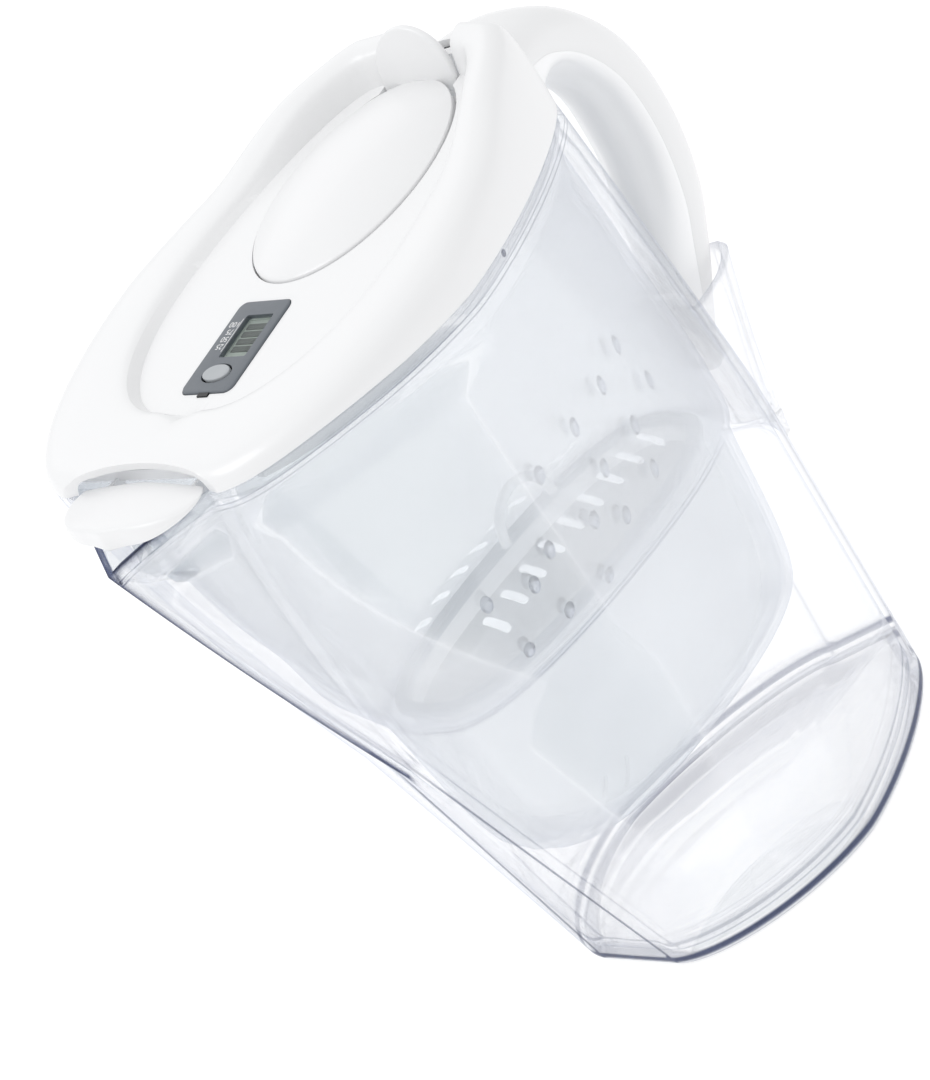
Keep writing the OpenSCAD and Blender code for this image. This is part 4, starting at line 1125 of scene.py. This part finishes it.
case = timer_piece("timer_case", round_rect((TIMER_L, TIMER_W), 3, 10), -TIMER_DEPTH, FACE_W)
soften(case, 0.55, angle=50, segments=3)
combine(case, timer_piece("inside", round_rect((TIMER_L - 2.4, TIMER_W - 2.4), 2, 6), -TIMER_DEPTH - 1, -1))
combine(case, timer_piece("opening", round_rect(LCD_SIZE, 0.7, 5), -2, 2, LCD_AT))
combine(case, timer_piece("key_hole", oval(*grown(BUTTON_SIZE, 1.3), 64), -2, 2, KEY_AT))
dress(case, TIMER, "lid", "timer_housing")
lcd = timer_piece("timer_lcd", round_rect(grown(LCD_SIZE, 1.4), 1, 4), -2.4, LCD_W + 0.15, LCD_AT)
LCD_MID = LCD_AT[0] + 0.5
combine(lcd, timer_piece("field", round_rect((14.6, 10.2), 0.4, 3), LCD_W, 0, (LCD_MID, LCD_AT[1])))
dress(lcd, LCD, "lid", "timer_display")
bar_places = [LCD_AT[0] + 5.0 - BAR_PITCH * k for k in range(4)]
bar = round_rect((2.3, 8.8), 0.25, 3)
bars = [timer_piece("timer_segments", bar, LCD_W - 0.1, LCD_W + 0.2, (u, LCD_AT[1])) for u in bar_places]
join(*bars)
dress(bars[0], BARS, "lid", "timer_bars")
glass = timer_piece("timer_window", round_rect(grown(LCD_SIZE, -0.3), 0.6, 5), -0.45, 0.35, LCD_AT)
soften(glass, 0.2, angle=50)
dress(glass, LENS, "lid", "timer_lens")
well = timer_piece("timer_well", oval(*grown(BUTTON_SIZE, 1.6), 48), -2.95, -2.5, KEY_AT)
combine(well, timer_piece("bore", oval(4.4, 8, 48), -4, 2, KEY_AT))
dress(well, BLACK, "lid")
# the key's section: size of its outline, and height above the lid's sunk face
key_line = ((0.45, -1.5), (0.98, -1.5), (1.0, -1.3), (1.0, 0.75), (0.985, 1.0), (0.94, 1.15), (0.8, 1.2),
            (0.5, 1.1), (0.2, 1.02))
key_rings = [np.array([timer_frame(KEY_AT[0] + u * k, v * k, w) for u, v in oval(*BUTTON_SIZE, 72)])
             for k, w in key_line]
key = sock("timer_key", key_rings, sharp=45)
stem = timer_piece("stem", oval(2.4, 2.4, 32), -3.2, -1.4, KEY_AT)
join(key, stem)
dress(key, BUTTON, "timer_button", "timer_button")

FIGURE_SIZE, FIGURE_Y, RULE_Y = 3.0, 7.1, 4.9
PRINT_W = FACE_W + 0.03


def numeral(text, at, size):
    """A flat printed figure that reads from the handle's side."""
    curve = bpy.data.curves.new("figure", "FONT")
    curve.body, curve.size, curve.align_x, curve.align_y = text, size, "CENTER", "CENTER"
    made = bpy.data.objects.new("figure", curve)
    bpy.context.scene.collection.objects.link(made)
    bpy.context.view_layer.update()
    flat = bpy.data.meshes.new_from_object(made.evaluated_get(bpy.context.evaluated_depsgraph_get()))
    bpy.data.objects.remove(made)
    verts = [timer_frame(at[0] - v.co.y, at[1] + v.co.x, PRINT_W) for v in flat.vertices]
    return add_mesh("timer_figures", verts, [tuple(p.vertices) for p in flat.polygons])


places = zip(bar_places, ("100", "75", "50", "25"))
figures = [numeral(text, (u, FIGURE_Y), FIGURE_SIZE) for u, text in places]
rule = round_rect((13.4, 0.22), 0.1, 2)
figures.append(timer_piece("rule", rule, FACE_W - 0.05, PRINT_W, (LCD_MID, RULE_Y)))
join(*figures)
dress(figures[0], MARK, "lid", slot="timer_grey")

# ---- Marks on the bowl and the nub at the rim, placed along the photograph's lines of sight ----
PHOTO_FOCAL, PHOTO_MID = 4465.0, (465.0, 540.0)
MARK_PIXELS = ((617, 345), (650, 380), (602, 385), (635, 425), (575, 427), (605, 468),
               (540, 475), (655, 468), (627, 515), (595, 520), (550, 550), (610, 575),
               (535, 585), (487, 605), (570, 610), (530, 650))
NUB_PIXEL = (504, 253)
# half length, half width and height, in metres
MARK_SIZE, NUB_SIZE = (0.0030, 0.0018, 0.0007), (0.0011, 0.0011, 0.0004)
NUB_THICK = 0.72


def sight(pixel):
    """Direction from the camera through a pixel of the photograph."""
    across, down = pixel[0] - PHOTO_MID[0], pixel[1] - PHOTO_MID[1]
    return (CAM_ROT @ Vector((across / PHOTO_FOCAL, -down / PHOTO_FOCAL, -1.0))).normalized()


# a mark's section: share of its half length or width, and share of its height
BUMP_LINE = ((1.12, -0.25), (1.0, 0.0), (0.85, 0.3), (0.6, 0.68), (0.3, 0.93), (0.08, 1.0))


def bump_at(tree, pixel, size, sides=24):
    """A low lens standing on the surface that the pixel shows."""
    long, wide, high = size
    point, normal, _, _ = tree.ray_cast(CAM_AT, sight(pixel))
    n = normal.normalized()
    upward = (Vector((0, 0, 1)) - n * n.z).normalized()
    across = n.cross(upward)
    rings = []
    for r, h in BUMP_LINE:
        ring = []
        for i in range(sides):
            a = 360 * i / sides
            on_face = upward * (long * r * cosd(a)) + across * (wide * r * sind(a))
            ring.append(np.array(point + on_face + n * (high * h)) * 1000 + [ORIGIN, 0, 0])
        rings.append(ring)
    return sock("bump", rings, sharp=50)


bowl = tree_of(funnel)
marks = [bump_at(bowl, pixel, MARK_SIZE) for pixel in MARK_PIXELS]
nub = bump_at(tree_of(jug), NUB_PIXEL, NUB_SIZE)
nub.name = "rim_nub"
set_edge(nub, lambda co: np.full(len(co), NUB_THICK))
dress(nub, CLEAR, "jug", slot="clear_shell")
lens_marks = join(*marks)
lens_marks.name = "funnel_marks"
set_edge(lens_marks, lambda co: np.zeros(len(co)))
dress(lens_marks, MARKS, "funnel", slot="funnel_tint")

# ---- Floor and light ----
FLOOR_HALF, FLOOR_Z = 6, -0.0004
corners = [(-1, -1), (1, -1), (1, 1), (-1, 1)]
floor_mesh = bpy.data.meshes.new("floor")
floor_mesh.from_pydata([(FLOOR_HALF * x, FLOOR_HALF * y, 0) for x, y in corners], [], [(0, 1, 2, 3)])
floor = bpy.data.objects.new("floor", floor_mesh)
bpy.context.scene.collection.objects.link(floor)
m, t, out = new_material("floor_white")
p = node(t, "BsdfPrincipled", Roughness=0.9,
         **{"Base Color": (0.3, 0.3, 0.305, 1), "Emission Color": (1, 1, 1, 1), "Emission Strength": 0.8})
link(t, p, 0, out, "Surface")
floor_mesh.materials.append(m)
floor.location.z = FLOOR_Z

world = bpy.data.worlds.new("studio")
bpy.context.scene.world = world
world.use_nodes = True
studio = world.node_tree.nodes["Background"]
studio.inputs["Color"].default_value = (0.99, 0.994, 1.0, 1)
studio.inputs["Strength"].default_value = 0.88


def area(name, at, to, size, power):
    """A rectangular lamp at a point, turned towards another."""
    data = bpy.data.lights.new(name, "AREA")
    data.shape, data.size, data.size_y, data.energy = "RECTANGLE", size[0], size[1], power
    obj = bpy.data.objects.new(name, data)
    obj.location = at
    obj.rotation_euler = (Vector(to) - Vector(at)).to_track_quat("-Z", "Y").to_euler()
    bpy.context.scene.collection.objects.link(obj)


area("key", (-0.7, 0.5, 1.6), (0, 0, 0.2), (0.8, 0.8), 6.0)
area("fill", (0.9, -1.1, 0.9), (0, 0, 0.12), (0.8, 1.2), 0.9)
area("back", (0.6, 1.2, 1.1), (0, 0, 0.12), (1.2, 0.8), 0.9)

scene = bpy.context.scene
scene.view_settings.view_transform = "Standard"
scene.cycles.transparent_max_bounces = 40
scene.cycles.max_bounces = 14
